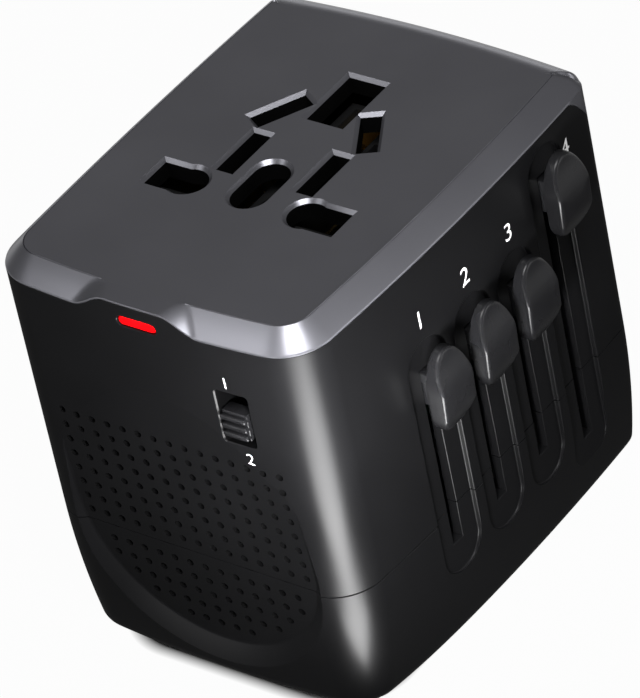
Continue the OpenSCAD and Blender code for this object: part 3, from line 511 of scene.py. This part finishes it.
# Each slider: place along the face, highest and lowest place of its knob, and the slot's run below that
SLOTS = [(-10.15, 41.1, 20.5, 2.6), (-0.24, 41.1, 20.5, 2.6), (9.67, 41.1, 20.5, 2.6),
         (19.58, 51.0, 14.2, 1.0)]
NECK_HALF, SLOT_SPARE, TRACK_END = 2.5, 0.5, 4.6
TRACK_W, TRACK_DEEP, SLOT_W = 8.0, 0.8, 2.0
MODE_X, MODE_Z = (10.1, 15.1), (44.4, 52.7)
LED_AT, LED_SIZE = (-0.25, 59.9), (6.1, 1.5)
EDGE = 0.1
SEAM_GAP = 0.16
BEHIND_FACE, BEFORE_FACE = -28, -36


def panel_point(x, up, out):
    """A point given on the leaning panel floor: across, up along it and out of it."""
    a = math.radians(90 + PANEL_LEAN)
    y = PANEL_Y + up * math.cos(a) - out * math.sin(a)
    z = PANEL_LOW + up * math.sin(a) + out * math.cos(a)
    return x, y, z


def panel_cutter():
    """The sunk panel: soft at its floor, a flared wall, a crisp outer edge."""
    fillet, steep, flare, above = 0.9, 2, 0.92, 60
    levels = [(fillet * (1 - math.cos(a)) * 0.5, fillet * math.sin(a) - fillet)
              for a in np.linspace(0.0, math.atan(steep), 9)]
    base_out, base_grow = levels[-1]
    for out in (1.2, 2.6, 4.0):
        levels.append((base_out + out, base_grow + steep * out * flare))
    angles = np.linspace(math.pi, 2 * math.pi, 120)
    rings = []
    for out, g in levels:
        r = PANEL_R + g
        pts = [(r * math.cos(a), PANEL_R + r * math.sin(a)) for a in angles]
        pts += [(r, PANEL_R + above), (-r, PANEL_R + above)]
        rings.append(np.array([panel_point(x, up, out) for x, up in pts]))
    return solid_of(rings)


def round_points(count):
    turn = np.linspace(0, 2 * math.pi, count, endpoint=False)
    return np.column_stack([np.cos(turn), np.sin(turn)])


def grille_cutters(rows):
    """A round cutter for each hole; a row is its height and the number of its holes."""
    cuts = []
    circle = round_points(18) * GRILLE_HOLE / 2
    for z, count in rows:
        for i in range(count):
            x = (i - (count - 1) / 2) * GRILLE_PITCH
            ends = [np.column_stack([circle[:, 0] + x, np.full(len(circle), y), circle[:, 1] + z])
                    for y in (BEHIND_FACE, BEFORE_FACE)]
            cuts.append(solid_of(ends))
    return cuts


def track_cutters():
    """The shallow track of each slider, and the slot through its floor."""
    tracks, slots = [], []
    r = 0.22
    for y, high, last, run in SLOTS:
        top = high + NECK_HALF + SLOT_SPARE
        low = last - NECK_HALF - run
        mid = (top + low) / 2
        levels = []
        for a in np.linspace(0, math.pi / 2, 5):
            levels.append((-TRACK_DEEP + r * (1 - math.cos(a)), r * math.sin(a) - r))
        for a in np.linspace(0, 1.3, 5):
            levels.append((-r + r * math.sin(a), r * (1 - math.cos(a))))
        levels.append((0.4, levels[-1][1] + 0.9))
        outline = stadium(TRACK_W, top - low + 2 * TRACK_END, 24) + (y, mid)
        tracks.append(cutter_side(outline, levels))
        thin = rectangle(SLOT_W, top - low) + (y, mid)
        slots.append(cutter_side(thin, [(-6, 0), (-TRACK_DEEP - EDGE, 0), (-TRACK_DEEP + 0.02, EDGE + 0.02),
                                        (0.5, EDGE + 0.3)]))
    return tracks, slots


def window_cutters():
    """The switch window and the status window."""
    mode = round_cornered(MODE_X[1] - MODE_X[0], MODE_Z[1] - MODE_Z[0], 0.5)
    mode = mode + (sum(MODE_X) / 2, sum(MODE_Z) / 2)
    y = float(front_y(sum(MODE_X) / 2))
    status = lying_stadium(LED_SIZE[1] + 0.1, LED_SIZE[0] + 0.1, 14) + LED_AT
    status_levels = [(BEHIND_FACE, 0), (-HALF_D + 0.1, 0), (-HALF_D - 0.02, 0.1), (-HALF_D - 1, 0.6)]
    return [cutter_front(mode, [(BEHIND_FACE, 0), (y + 0.09, 0), (y - 0.01, 0.1), (y - 1, 0.5)]),
            cutter_front(status, status_levels)]


def keep_behind_panel(rings):
    """Flattens inner rings at the front, where the shell stands back behind the sunk panel."""
    for r in rings:
        r[:, 1] = np.maximum(r[:, 1], SHELL_FRONT)


def upper_case_mesh():
    lip = lip_height()
    edge, low = EDGE_ROUND, SEAM + SEAM_GAP / 2
    outer = [ring(edge, low), ring(0, low + edge)]
    outer += [ring(0, low + edge + (lip - 2 * edge - low) * u) for u in (0.25, 0.5, 0.75, 1)]
    outer.append(ring(edge, lip))
    inner = [ring(SHELL_IN, lip), ring(SHELL_IN, low)]
    keep_behind_panel(inner)
    rings = outer + inner
    count = len(RING)
    faces = tube_faces(count, len(rings))
    last = (len(rings) - 1) * count
    for i in range(count):
        j = (i + 1) % count
        faces.append([last + i, last + j, j, i])
    tracks, slots = track_cutters()
    groups = [[panel_cutter()] + tracks, slots + grille_cutters(UPPER_ROWS) + window_cutters()]
    return carve("upper_case", (np.vstack(rings), faces), groups)


def foot_inset(z):
    """How far the foot is drawn in at a height."""
    taper = FOOT_TAPER * (1 - z / SEAM) ** 2
    drop = max(FOOT_ROUND - z, 0)
    return taper + FOOT_ROUND - math.sqrt(FOOT_ROUND ** 2 - drop ** 2)


def foot_ring(inset, z):
    """A ring of the foot, with its grille and slider corner leaning in a little more."""
    p = ring(inset, z)
    lean = FOOT_PULL * (1 - z / SEAM) ** 2 * np.clip(p[:, 0], 0, None) / (HALF_W - CORNER_R - SIDE_BOW)
    p[:, 0] -= np.where(p[:, 1] < 0, lean * (p[:, 1] / FRONT_Y) ** 4, 0)
    return p


def floor_outlines():
    """The openings in the foot, one for each pin and one for the European block."""
    holes = []
    spare, offset = 0.7, 6
    half, quarter = spare / 2, spare / 4
    for s in (-1, 1):
        holes.append(rectangle(6.35 + spare, 4 + spare) + (-offset + s * 11.1, -12))
        holes.append(turned(rectangle(6.35 + spare, 1.6 + spare), 90 + s * 30, (offset + s * 6.86, -0.24)))
        holes.append(rectangle(1.5 + spare, 6.35 + spare) + (offset + s * 6.35, 9.67))
    holes.append(rectangle(4 + spare, 8 + spare) + (-offset, 10.2))
    x, y = 17.75 + half, 6.85 + half
    fx, fy = 13 + quarter, 1.6 + quarter
    eu = np.array([(x, -fy), (x, fy), (fx, y), (-fx, y), (-x, fy), (-x, -fy), (-fx, -y), (fx, -y)])
    return holes, [eu + (-0.4, 21.85)]


def lower_case_mesh():
    edge, top = EDGE_ROUND, SEAM - SEAM_GAP / 2
    heights = [FOOT_ROUND * (1 - math.cos(a)) for a in np.linspace(0, math.pi / 2, 14)]
    heights += list(np.linspace(FOOT_ROUND, top - edge, 14)[1:])
    outer = [foot_ring(foot_inset(z), z) for z in heights] + [ring(edge, top)]
    inner = [ring(SHELL_IN, top)] + [foot_ring(foot_inset(z) + WALL, z) for z in (14, 9, 5, FOOT_ROUND)]
    keep_behind_panel(inner)
    base = solid_of(outer + inner)
    tracks, slots = track_cutters()
    chamfer, through = 0.2, 4
    opening_levels = [(-0.05, chamfer + 0.05), (chamfer, 0), (through, 0)]
    floor_groups = [[cutter_up(h, opening_levels) for h in group] for group in floor_outlines()]
    screw_at, screw_levels = (19.6, 26.8), [(-0.6, 0.8), (0, 0.2), (chamfer, 0), (through, 0)]
    circle = round_points(40) * 2.4
    screws = [cutter_up(circle + (sx * screw_at[0], sy * screw_at[1]), screw_levels)
              for sx in (-1, 1) for sy in (-1, 1)]
    groups = [[panel_cutter()] + tracks, slots + grille_cutters(LOWER_ROWS) + screws] + floor_groups
    return carve("lower_case", base, groups)


# Knobs
KNOB_BACK, KNOB_HALF, KNOB_POINTS = 27.7, 3.45, 120
KNOB_UPPER, KNOB_LOWER = (2.0, 5.3), (1.8, 3.3)
KNOB_WAVE = [(-5.2, 0.95), (-4.6, 1.3), (-3.6, 1.85), (-2.6, 2.3), (-1.9, 2.56), (-1.1, 2.76), (-0.1, 2.84),
             (1.1, 2.8), (2.2, 2.66), (3.3, 2.42), (4.4, 2.1), (5.3, 1.84), (6.2, 1.66), (7.0, 1.58),
             (7.8, 1.55)]
KNOB_FILLET, KNOB_BACK_ROUND = 0.5, 0.25
NECK_X, NECK_SIDE, NECK_ROUND = (22.0, 28.2), 0.8, 0.15


def knob_face(z):
    """How far a knob's S-shaped face stands out from its back, at a height on it."""
    zs, xs = zip(*KNOB_WAVE)
    fine = np.linspace(zs[0], zs[-1], 400)
    x = np.interp(fine, zs, xs)
    k = np.exp(-0.5 * (np.linspace(-1.2, 1.2, 37) / 0.42) ** 2)
    x = np.convolve(np.pad(x, 18, mode="edge"), k / k.sum(), mode="valid")
    return np.interp(z, fine, x)


def knob_outline(inset):
    """A knob seen from the front, drawn in by inset, and fuller below its middle."""
    pts = []
    for a in np.linspace(0, 2 * math.pi, KNOB_POINTS, endpoint=False):
        c, s = math.cos(a), math.sin(a)
        mid, reach = KNOB_UPPER if s >= 0 else (-KNOB_LOWER[0], KNOB_LOWER[1])
        full = 1 if s >= 0 else 0.86
        pts.append((KNOB_HALF * math.copysign(abs(c) ** full, c), mid + reach * s))
    p = np.array(pts)
    along = np.roll(p, -1, axis=0) - np.roll(p, 1, axis=0)
    along /= np.hypot(*along.T)[:, None]
    return p - inset * np.column_stack([along[:, 1], -along[:, 0]])


def slider_knob_mesh(name, y, z):
    rings = []
    back_r = KNOB_BACK_ROUND
    for a in np.linspace(0, math.pi / 2, 5):
        p = knob_outline(back_r * (1 - math.sin(a)))
        rings.append(np.column_stack([np.full(KNOB_POINTS, back_r * (1 - math.cos(a))), p]))
    for a in np.linspace(0, math.pi / 2, 9):
        p = knob_outline(KNOB_FILLET * (1 - math.cos(a)))
        face = knob_face(p[:, 1])
        drop = np.minimum(KNOB_FILLET, face * 0.6)
        rings.append(np.column_stack([np.maximum(face - drop * (1 - math.sin(a)), back_r), p]))
    edge = rings[-1][:, 1:]
    centre = np.array([0, 0.4])
    for s in np.linspace(0.04, 0.97, 24):
        p = edge * (1 - s) + centre * s
        rings.append(np.column_stack([knob_face(p[:, 1]), p]))
    mesh = mesh_from(name, *solid_of([r + (KNOB_BACK, y, z) for r in rings]))
    outward(mesh)
    smooth(mesh, 50)
    return mesh


def rounded_box(low, high, r):
    """Mesh of a box with rounded edges, in metres."""
    low, high = np.array(low, float), np.array(high, float)
    bm = bmesh.new()
    bmesh.ops.create_cube(bm, size=1)
    for v in bm.verts:
        v.co = Vector((low + (np.array(v.co) + 0.5) * (high - low)) * MM)
    bmesh.ops.bevel(bm, geom=bm.edges[:], offset=r * MM, segments=3, profile=0.5, affect="EDGES")
    return bm


def mesh_of_boxes(name, boxes):
    """One mesh out of rounded boxes, each given by its two corners and its edge radius."""
    mesh = bpy.data.meshes.new(name)
    whole = bmesh.new()
    for low, high, r in boxes:
        bm = rounded_box(low, high, r)
        part = bpy.data.meshes.new("part")
        bm.to_mesh(part)
        bm.free()
        whole.from_mesh(part)
        bpy.data.meshes.remove(part)
    whole.to_mesh(mesh)
    whole.free()
    smooth(mesh, 40)
    return mesh


# Materials
def material(name):
    mat = bpy.data.materials.new(name)
    mat.use_nodes = True
    tree = mat.node_tree
    return mat, tree.nodes, tree.links, tree.nodes["Principled BSDF"]


def noise(nodes, links, scale, detail, rough=0.55):
    coords = nodes.new("ShaderNodeTexCoord")
    tex = nodes.new("ShaderNodeTexNoise")
    tex.inputs["Scale"].default_value = scale
    tex.inputs["Detail"].default_value = detail
    tex.inputs["Roughness"].default_value = rough
    links.new(coords.outputs["Object"], tex.inputs["Vector"])
    return tex.outputs["Fac"]


def ramp(nodes, links, source, low, high):
    """A colour that runs from low to high over the middle of the noise."""
    r = nodes.new("ShaderNodeValToRGB")
    r.color_ramp.elements[0].position, r.color_ramp.elements[1].position = 0.35, 0.65
    r.color_ramp.elements[0].color = (*low, 1)
    r.color_ramp.elements[1].color = (*high, 1)
    links.new(source, r.inputs["Fac"])
    return r.outputs["Color"]


def map_range(nodes, links, source, start, end):
    """A number that runs over end while the source runs over start."""
    m = nodes.new("ShaderNodeMapRange")
    m.inputs["From Min"].default_value, m.inputs["From Max"].default_value = start
    m.inputs["To Min"].default_value, m.inputs["To Max"].default_value = end
    links.new(source, m.inputs["Value"])
    return m.outputs["Result"]


def bump(nodes, links, shader, source, strength, distance):
    b = nodes.new("ShaderNodeBump")
    b.inputs["Strength"].default_value = strength
    b.inputs["Distance"].default_value = distance
    links.new(source, b.inputs["Height"])
    links.new(b.outputs["Normal"], shader.inputs["Normal"])


def finish(name, low, high, rough, metallic=0.0, specular=0.5, grain=3000, depth=0.00001, strength=0.3,
           cloud=60, coat=0.0, emission=None):
    """A surface with a slow colour drift, a rougher and smoother patchwork and a fine grain."""
    mat, nodes, links, shader = material(name)
    slow = noise(nodes, links, cloud, 3)
    fine = noise(nodes, links, grain, 2, 0.6)
    links.new(ramp(nodes, links, slow, low, high), shader.inputs["Base Color"])
    links.new(map_range(nodes, links, slow, (0.3, 0.7), rough), shader.inputs["Roughness"])
    shader.inputs["Metallic"].default_value = metallic
    shader.inputs["Specular IOR Level"].default_value = specular
    shader.inputs["Coat Weight"].default_value = coat
    if emission:
        shader.inputs["Emission Color"].default_value = (*emission[0], 1)
        shader.inputs["Emission Strength"].default_value = emission[1]
    bump(nodes, links, shader, fine, strength, depth)
    return mat


def all_materials():
    return {
        "cap": finish("cap_grey_satin", (0.15, 0.15, 0.167), (0.162, 0.162, 0.18), (0.28, 0.32),
                      metallic=0.8, grain=9000, depth=0.000004, strength=0.25, cloud=45),
        "case": finish("case_black_satin", (0.0036, 0.0036, 0.0039), (0.0046, 0.0046, 0.005), (0.3, 0.36),
                       specular=0.15, grain=6000, depth=0.000004, strength=0.25, cloud=50),
        "knob": finish("knob_black_satin", (0.006, 0.006, 0.0066), (0.008, 0.008, 0.0088), (0.24, 0.3),
                       specular=0.24, grain=7000, depth=0.000003, strength=0.2, cloud=90),
        # painted shade: a near-black dull finish for the faces deep in openings, where shade falls
        "inside": finish("inner_wall_painted_shade", (0.0015, 0.0015, 0.0016), (0.0025, 0.0025, 0.0026), (0.65, 0.8),
                         specular=0.03, grain=3000, depth=0.000006, strength=0.3, cloud=70),
        "lens": finish("lens_red", (0.62, 0.001, 0.002), (0.68, 0.002, 0.004), (0.28, 0.34), specular=0.08,
                       grain=2500, depth=0.000002, strength=0.1, cloud=300,
                       emission=((1.0, 0.004, 0.008), 0.2)),
        "ink": finish("print_white", (0.82, 0.82, 0.82), (0.9, 0.9, 0.9), (0.5, 0.6), grain=5000,
                      depth=0.000003, strength=0.2, cloud=200),
        "moulding": finish("moulding_black", (0.012, 0.012, 0.013), (0.018, 0.018, 0.019), (0.42, 0.55),
                           specular=0.35, grain=2500, strength=0.35, cloud=80),
        "inner": finish("moulding_inner", (0.006, 0.006, 0.0062), (0.009, 0.009, 0.0094), (0.5, 0.62),
                        specular=0.15, grain=2500, cloud=80),
        "brass": finish("pin_brass", (0.62, 0.43, 0.16), (0.72, 0.52, 0.22), (0.22, 0.34), metallic=1.0,
                        grain=4000, depth=0.000006, strength=0.3, cloud=150),
        "steel": finish("plated_steel", (0.55, 0.56, 0.57), (0.66, 0.67, 0.68), (0.22, 0.36), metallic=1.0,
                        grain=4000, depth=0.000006, strength=0.3, cloud=150),
        "board": finish("board_green", (0.01, 0.075, 0.03), (0.015, 0.11, 0.045), (0.35, 0.45), grain=1500,
                        cloud=120, coat=0.3),
        "aluminium": finish("sink_aluminium", (0.6, 0.6, 0.61), (0.7, 0.7, 0.71), (0.3, 0.45), metallic=1.0,
                            grain=3500, strength=0.4, cloud=100),
        "blue": finish("cutout_blue", (0.02, 0.06, 0.22), (0.03, 0.09, 0.3), (0.35, 0.45), cloud=150),
        "ferrite": finish("ferrite_grey", (0.03, 0.03, 0.032), (0.05, 0.05, 0.052), (0.6, 0.75), cloud=200),
        "copper": finish("copper_enamel", (0.55, 0.2, 0.07), (0.7, 0.3, 0.12), (0.2, 0.35), metallic=1.0,
                         grain=2500, cloud=220, coat=0.4),
        "red": finish("capacitor_red", (0.35, 0.03, 0.02), (0.45, 0.05, 0.03), (0.3, 0.42), cloud=150),
        "glass": finish("fuse_glass", (0.72, 0.74, 0.74), (0.82, 0.84, 0.84), (0.05, 0.12), cloud=150),
    }


SLOT_FINISH = {
    "cap_grey": "cap", "case_black": "case", "knob_black": "knob", "moulding": "moulding",
    "inner_moulding": "inner", "red_lens": "lens", "pin_brass": "brass", "spring_brass": "brass",
    "plated_steel": "steel", "board_green": "board", "sink_aluminium": "aluminium",
    "cutout_blue": "blue", "ferrite": "ferrite", "copper_wire": "copper",
    "capacitor_red": "red", "fuse_glass": "glass",
}


def dress_frame(frame, mats):
    """Every CAD node that stays gets the finish of its own material slot."""
    slot_of = {part["node"]: part["material_slot"] for part in frame["record"]["subparts"]}
    for node, obj in frame["nodes"].items():
        obj.data.materials.clear()
        obj.data.materials.append(mats[SLOT_FINISH[slot_of[node]]])


# Studio
CAMERA_AT = (415.42, -452.47, 493.82)
CAMERA_FORWARD = (-0.5413, 0.5881, -0.6009)
CAMERA_ROLL = 12.13
FOCAL_PX, LONG_PX, SENSOR = 5855.09, 698, 36.0


def set_camera():
    """The photograph's view: place, direction, roll about that direction, and focal length."""
    forward = Vector(CAMERA_FORWARD).normalized()
    right = forward.cross(Vector((0, 0, 1))).normalized()
    down = forward.cross(right).normalized()
    a = math.radians(CAMERA_ROLL)
    x = right * math.cos(a) + down * math.sin(a)
    y = -(down * math.cos(a) - right * math.sin(a))
    data = bpy.data.cameras.new("camera")
    data.sensor_fit = "AUTO"
    data.sensor_width = SENSOR
    data.lens = FOCAL_PX * SENSOR / LONG_PX
    data.clip_end = 20
    cam = bpy.data.objects.new("camera", data)
    place = Matrix((x, y, -forward)).transposed().to_4x4()
    place.translation = Vector(CAMERA_AT) * MM
    cam.matrix_world = place
    bpy.context.scene.collection.objects.link(cam)
    bpy.context.scene.camera = cam


def lamp(name, at, aim, size, power, kind="", spread=180):
    """A rectangular lamp that the camera doesn't see. Kind gloss adds no diffuse light, soft no gloss."""
    data = bpy.data.lights.new(name, "AREA")
    data.shape = "RECTANGLE"
    data.size, data.size_y = size
    data.energy = power
    data.spread = math.radians(spread)
    obj = bpy.data.objects.new(name, data)
    obj.location = at
    obj.rotation_euler = (Vector(aim) - Vector(at)).to_track_quat("-Z", "Y").to_euler()
    obj.visible_camera = False
    obj.visible_diffuse, obj.visible_glossy = kind != "gloss", kind != "soft"
    bpy.context.scene.collection.objects.link(obj)


def studio():
    scene = bpy.context.scene
    scene.view_settings.view_transform = "Standard"
    world = bpy.data.worlds.new("studio")
    scene.world = world
    world.use_nodes = True
    world.node_tree.nodes["Background"].inputs["Color"].default_value = (1, 1, 1, 1)
    world.node_tree.nodes["Background"].inputs["Strength"].default_value = 0.175
    middle = (0, 0, 0.04)
    lamp("key", (0.33, -0.3, 0.74), middle, (0.46, 0.3), 6.4)
    lamp("left_front", (-0.42, -0.62, 0.57), middle, (0.36, 0.36), 1.2)
    lamp("right_back", (0.78, 0.34, 0.22), middle, (0.4, 0.24), 1.1)
    lamp("back_roll", (-0.49, 0.72, 0.2), middle, (0.6, 0.22), 0.6, "gloss")
    lamp("flare_gloss", (-0.3, -0.85, 0.19), middle, (0.9, 0.2), 1.0, "gloss")
    lamp("corner_near", (0.036, -0.041, 0.001), (0.036, -0.041, 0.1), (0.018, 0.016), 0.03, "gloss")
    lamp("corner_far", (0.064, -0.066, 0.001), (0.064, -0.066, 0.1), (0.048, 0.042), 0.25, "gloss")
    lamp("corner_fill", (0.062, -0.072, 0.06), (0.01, -0.01, 0.045), (0.02, 0.02), 0.085, "soft", 80)
    floor()


def math_node(nodes, links, operation, first, second=None):
    """A Math node's result. A value is a number, or the socket that feeds it."""
    node = nodes.new("ShaderNodeMath")
    node.operation = operation
    for value, socket in ((first, node.inputs[0]), (second, node.inputs[1])):
        if isinstance(value, bpy.types.NodeSocket):
            links.new(value, socket)
        elif value is not None:
            socket.default_value = value
    return node.outputs[0]


def length_node(nodes, links, vector):
    node = nodes.new("ShaderNodeVectorMath")
    node.operation = "LENGTH"
    links.new(vector, node.inputs[0])
    return node.outputs["Value"]


FOOT_SHADE, SHADE_CORNER, SHADE_SOFT = (0.0205, 0.03), 0.009, 0.002
MIRROR_FROM, MIRROR_SHARE = (0.12, 0.26), (0.02, 0.8)


def outside_foot(nodes, links, place):
    """0 on the floor beneath the foot, which lies in full shadow, and 1 around it."""
    split = nodes.new("ShaderNodeSeparateXYZ")
    join = nodes.new("ShaderNodeCombineXYZ")
    links.new(place, split.inputs[0])
    for axis, half in zip("XY", FOOT_SHADE):
        size = math_node(nodes, links, "ABSOLUTE", split.outputs[axis])
        past = math_node(nodes, links, "SUBTRACT", size, half - SHADE_CORNER)
        past.node.use_clamp = True
        links.new(past, join.inputs[axis])
    reach = length_node(nodes, links, join.outputs[0])
    return map_range(nodes, links, reach, (SHADE_CORNER, SHADE_CORNER + SHADE_SOFT), (0, 1))


def floor_glow(nodes, links):
    """The floor's share of white: for the camera, seen through glass, and in part for gloss.

    The far floor is mirrored more than the near one, which the black sides would mirror too much.
    """
    place = nodes.new("ShaderNodeTexCoord").outputs["Object"]
    seen = nodes.new("ShaderNodeLightPath").outputs
    far = map_range(nodes, links, length_node(nodes, links, place), MIRROR_FROM, MIRROR_SHARE)
    gloss = math_node(nodes, links, "MULTIPLY", seen["Is Glossy Ray"], far)
    direct = math_node(nodes, links, "ADD", seen["Is Camera Ray"], gloss)
    rays = math_node(nodes, links, "ADD", direct, seen["Is Transmission Ray"])
    share = math_node(nodes, links, "MULTIPLY", rays, 0.9)
    return math_node(nodes, links, "MULTIPLY", share, outside_foot(nodes, links, place))


def floor():
    """A plane that is white where the camera sees it, with the object's faint shadow."""
    mesh = bpy.data.meshes.new("floor")
    half = 3.0
    corners = [(-half, -half, 0), (half, -half, 0), (half, half, 0), (-half, half, 0)]
    mesh.from_pydata(corners, [], [(0, 1, 2, 3)])
    mat = bpy.data.materials.new("floor_pale")
    mat.use_nodes = True
    nodes, links = mat.node_tree.nodes, mat.node_tree.links
    nodes.clear()
    out = nodes.new("ShaderNodeOutputMaterial")
    diffuse = nodes.new("ShaderNodeBsdfDiffuse")
    diffuse.inputs["Color"].default_value = (0.05, 0.05, 0.05, 1)
    glow = nodes.new("ShaderNodeEmission")
    glow.inputs["Strength"].default_value = 1.08
    mix = nodes.new("ShaderNodeMixShader")
    links.new(floor_glow(nodes, links), mix.inputs["Fac"])
    links.new(diffuse.outputs[0], mix.inputs[1])
    links.new(glow.outputs[0], mix.inputs[2])
    links.new(mix.outputs[0], out.inputs["Surface"])
    plane = object_of("floor", mesh, mat)
    plane.location.z = -0.0002


# Numbers
PRINT_PROUD = 0.03


def number(name, text, height, centre, across, up, out, mat):
    """A printed number, a hair above its face."""
    curve = bpy.data.curves.new(name, "FONT")
    curve.body = text
    curve.size = 1
    curve.align_x, curve.align_y = "CENTER", "CENTER"
    curve.resolution_u = 6
    temp = bpy.data.objects.new(name + "_t", curve)
    bpy.context.scene.collection.objects.link(temp)
    graph = bpy.context.evaluated_depsgraph_get()
    mesh = bpy.data.meshes.new_from_object(temp.evaluated_get(graph), depsgraph=graph)
    bpy.data.objects.remove(temp)
    mesh.name = name
    co = np.array([v.co for v in mesh.vertices])
    low, high = co.min(0), co.max(0)
    scale = height / (high[1] - low[1])
    mid = (low + high) / 2
    for v in mesh.vertices:
        a, b = (v.co.x - mid[0]) * scale, (v.co.y - mid[1]) * scale
        at = [centre[k] + a * across[k] + b * up[k] + out[k] * PRINT_PROUD for k in range(3)]
        v.co = Vector(at) * MM
    obj = object_of(name, mesh, mat)
    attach(obj, "case")
    return obj


def darken_inside(mesh, mat, is_inside):
    """Paints shade on the faces deep in an opening: a darker, duller finish stands in for the shade that
    falls there.
    """
    mesh.materials.append(mat)
    for poly in mesh.polygons:
        if is_inside([c / MM for c in poly.center], poly.normal):
            poly.material_index = 1


# Where the painted shade goes: walls deep in the sockets, the switch window and the grille holes
def in_socket(at, _normal):
    return at[2] < HEIGHT - OPEN_CHAMFER - 0.01 and abs(at[0]) < 17 and abs(at[1]) < 20


def in_window(at, _normal):
    beside = MODE_X[0] - 0.4 < at[0] < MODE_X[1] + 0.4 and at[2] > 44
    return beside and -HALF_D + 1.3 < at[1] < -29


def in_grille_hole(at, normal):
    x, y, z = at
    near = 0.6
    if y > -28.5 or abs(normal[1]) > 0.05:
        return False
    for row_z, count in UPPER_ROWS + LOWER_ROWS:
        if abs(z - row_z) < near:
            place_in_row = x / GRILLE_PITCH + (count - 1) / 2
            return abs(place_in_row - round(place_in_row)) * GRILLE_PITCH < near
    return False


def place(name, mesh, mat, body, replaced, slot):
    """Puts a piece in the scene on its body, in place of a CAD node where it replaces one."""
    obj = object_of(name, mesh, mat)
    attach(obj, body)
    if replaced:
        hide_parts(replaced)
    return obj


# The object
def build(mats):
    case_pieces(mats)
    slider_knobs(mats)
    lens_piece(mats)
    mode_knob(mats)
    prints(mats)


def case_pieces(mats):
    # the faces deep in the openings get a painted shade
    cap = place("top_cap_skin", top_cap_mesh(), mats["cap"], "case", "top_cap", "cap_grey")
    darken_inside(cap.data, mats["inside"], in_socket)
    upper = place("upper_case_skin", upper_case_mesh(), mats["case"], "case", "upper_case", "case_black")
    darken_inside(upper.data, mats["inside"], lambda at, n: in_window(at, n) or in_grille_hole(at, n))
    lower = place("lower_case_skin", lower_case_mesh(), mats["case"], "case", "lower_case", "case_black")
    darken_inside(lower.data, mats["inside"], in_grille_hole)


def slider_knobs(mats):
    for who, (y, z, _, _) in zip(("uk", "aus", "usa", "eu"), SLOTS):
        body = who + "_set"
        pad = slider_knob_mesh(who + "_knob_pad", y, z)
        place(who + "_knob_pad", pad, mats["knob"], body, who + "_slider_knob", "knob_black")
        low = (NECK_X[0], y - NECK_SIDE, z - NECK_HALF)
        high = (NECK_X[1], y + NECK_SIDE, z + NECK_HALF)
        neck = mesh_of_boxes(who + "_knob_neck", [(low, high, NECK_ROUND)])
        place(who + "_knob_neck", neck, mats["knob"], body, None, "knob_black")


def lens_piece(mats):
    """The red status window, rounded at its front edge."""
    outline = lying_stadium(LED_SIZE[1] - 0.02, LED_SIZE[0] - 0.02, 16) + LED_AT
    face, r = -HALF_D + 0.15, 0.3
    levels = [(face + 2.2, 0)]
    for a in np.linspace(0, math.pi / 2, 6):
        levels.append((face + r * (1 - math.sin(a)), -r * (1 - math.cos(a))))
    mesh = mesh_from("led_lens_pill", *cutter_front(outline, levels))
    outward(mesh)
    smooth(mesh, 50)
    place("led_lens_pill", mesh, mats["lens"], "case", "led_lens", "red_lens")


def mode_knob(mats):
    """The small switch slide: a low block with three rounded ribs a hair proud of the face."""
    left, right, low, high = MODE_X[0] + 0.12, MODE_X[1] - 0.95, MODE_Z[0] + 0.75, MODE_Z[0] + 4.85
    face = -HALF_D + 0.75
    boxes = [((left, face, low), (right, face + 1.9, high), 0.15)]
    first, pitch, thick, r = 0.3, 1.33, 0.78, 0.3
    for i in range(3):
        z = low + first + pitch * i
        boxes.append(((left, -HALF_D + 0.04, z), (right, face + 0.4, z + thick), r))
    mesh = mesh_of_boxes("mode_knob_ribs", boxes)
    place("mode_knob_ribs", mesh, mats["knob"], "mode_switch", "mode_switch_knob", "knob_black")


def prints(mats):
    """Plain numbers: 1 to 4 by the sliders, 1 and 2 by the switch."""
    ink = mats["ink"]
    for text, y, z in (("1", -10.15, 52), ("2", -0.24, 52), ("3", 9.67, 52), ("4", 24.5, 55)):
        x = float(side_x(y))
        obj = number("number_" + text, text, 2.6, (x, y, z), (0, 1, 0), (0, 0, 1), (1, 0, 0), ink)
    for text, x, z in (("1", 12.2, 54.3), ("2", 13.6, 42.4)):
        y = float(front_y(x))
        obj = number("mode_number_" + text, text, 1.7, (x, y, z), (1, 0, 0), (0, 0, 1), (0, -1, 0), ink)


def main():
    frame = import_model()
    mats = all_materials()
    dress_frame(frame, mats)
    set_camera()
    studio()
    build(mats)


main()
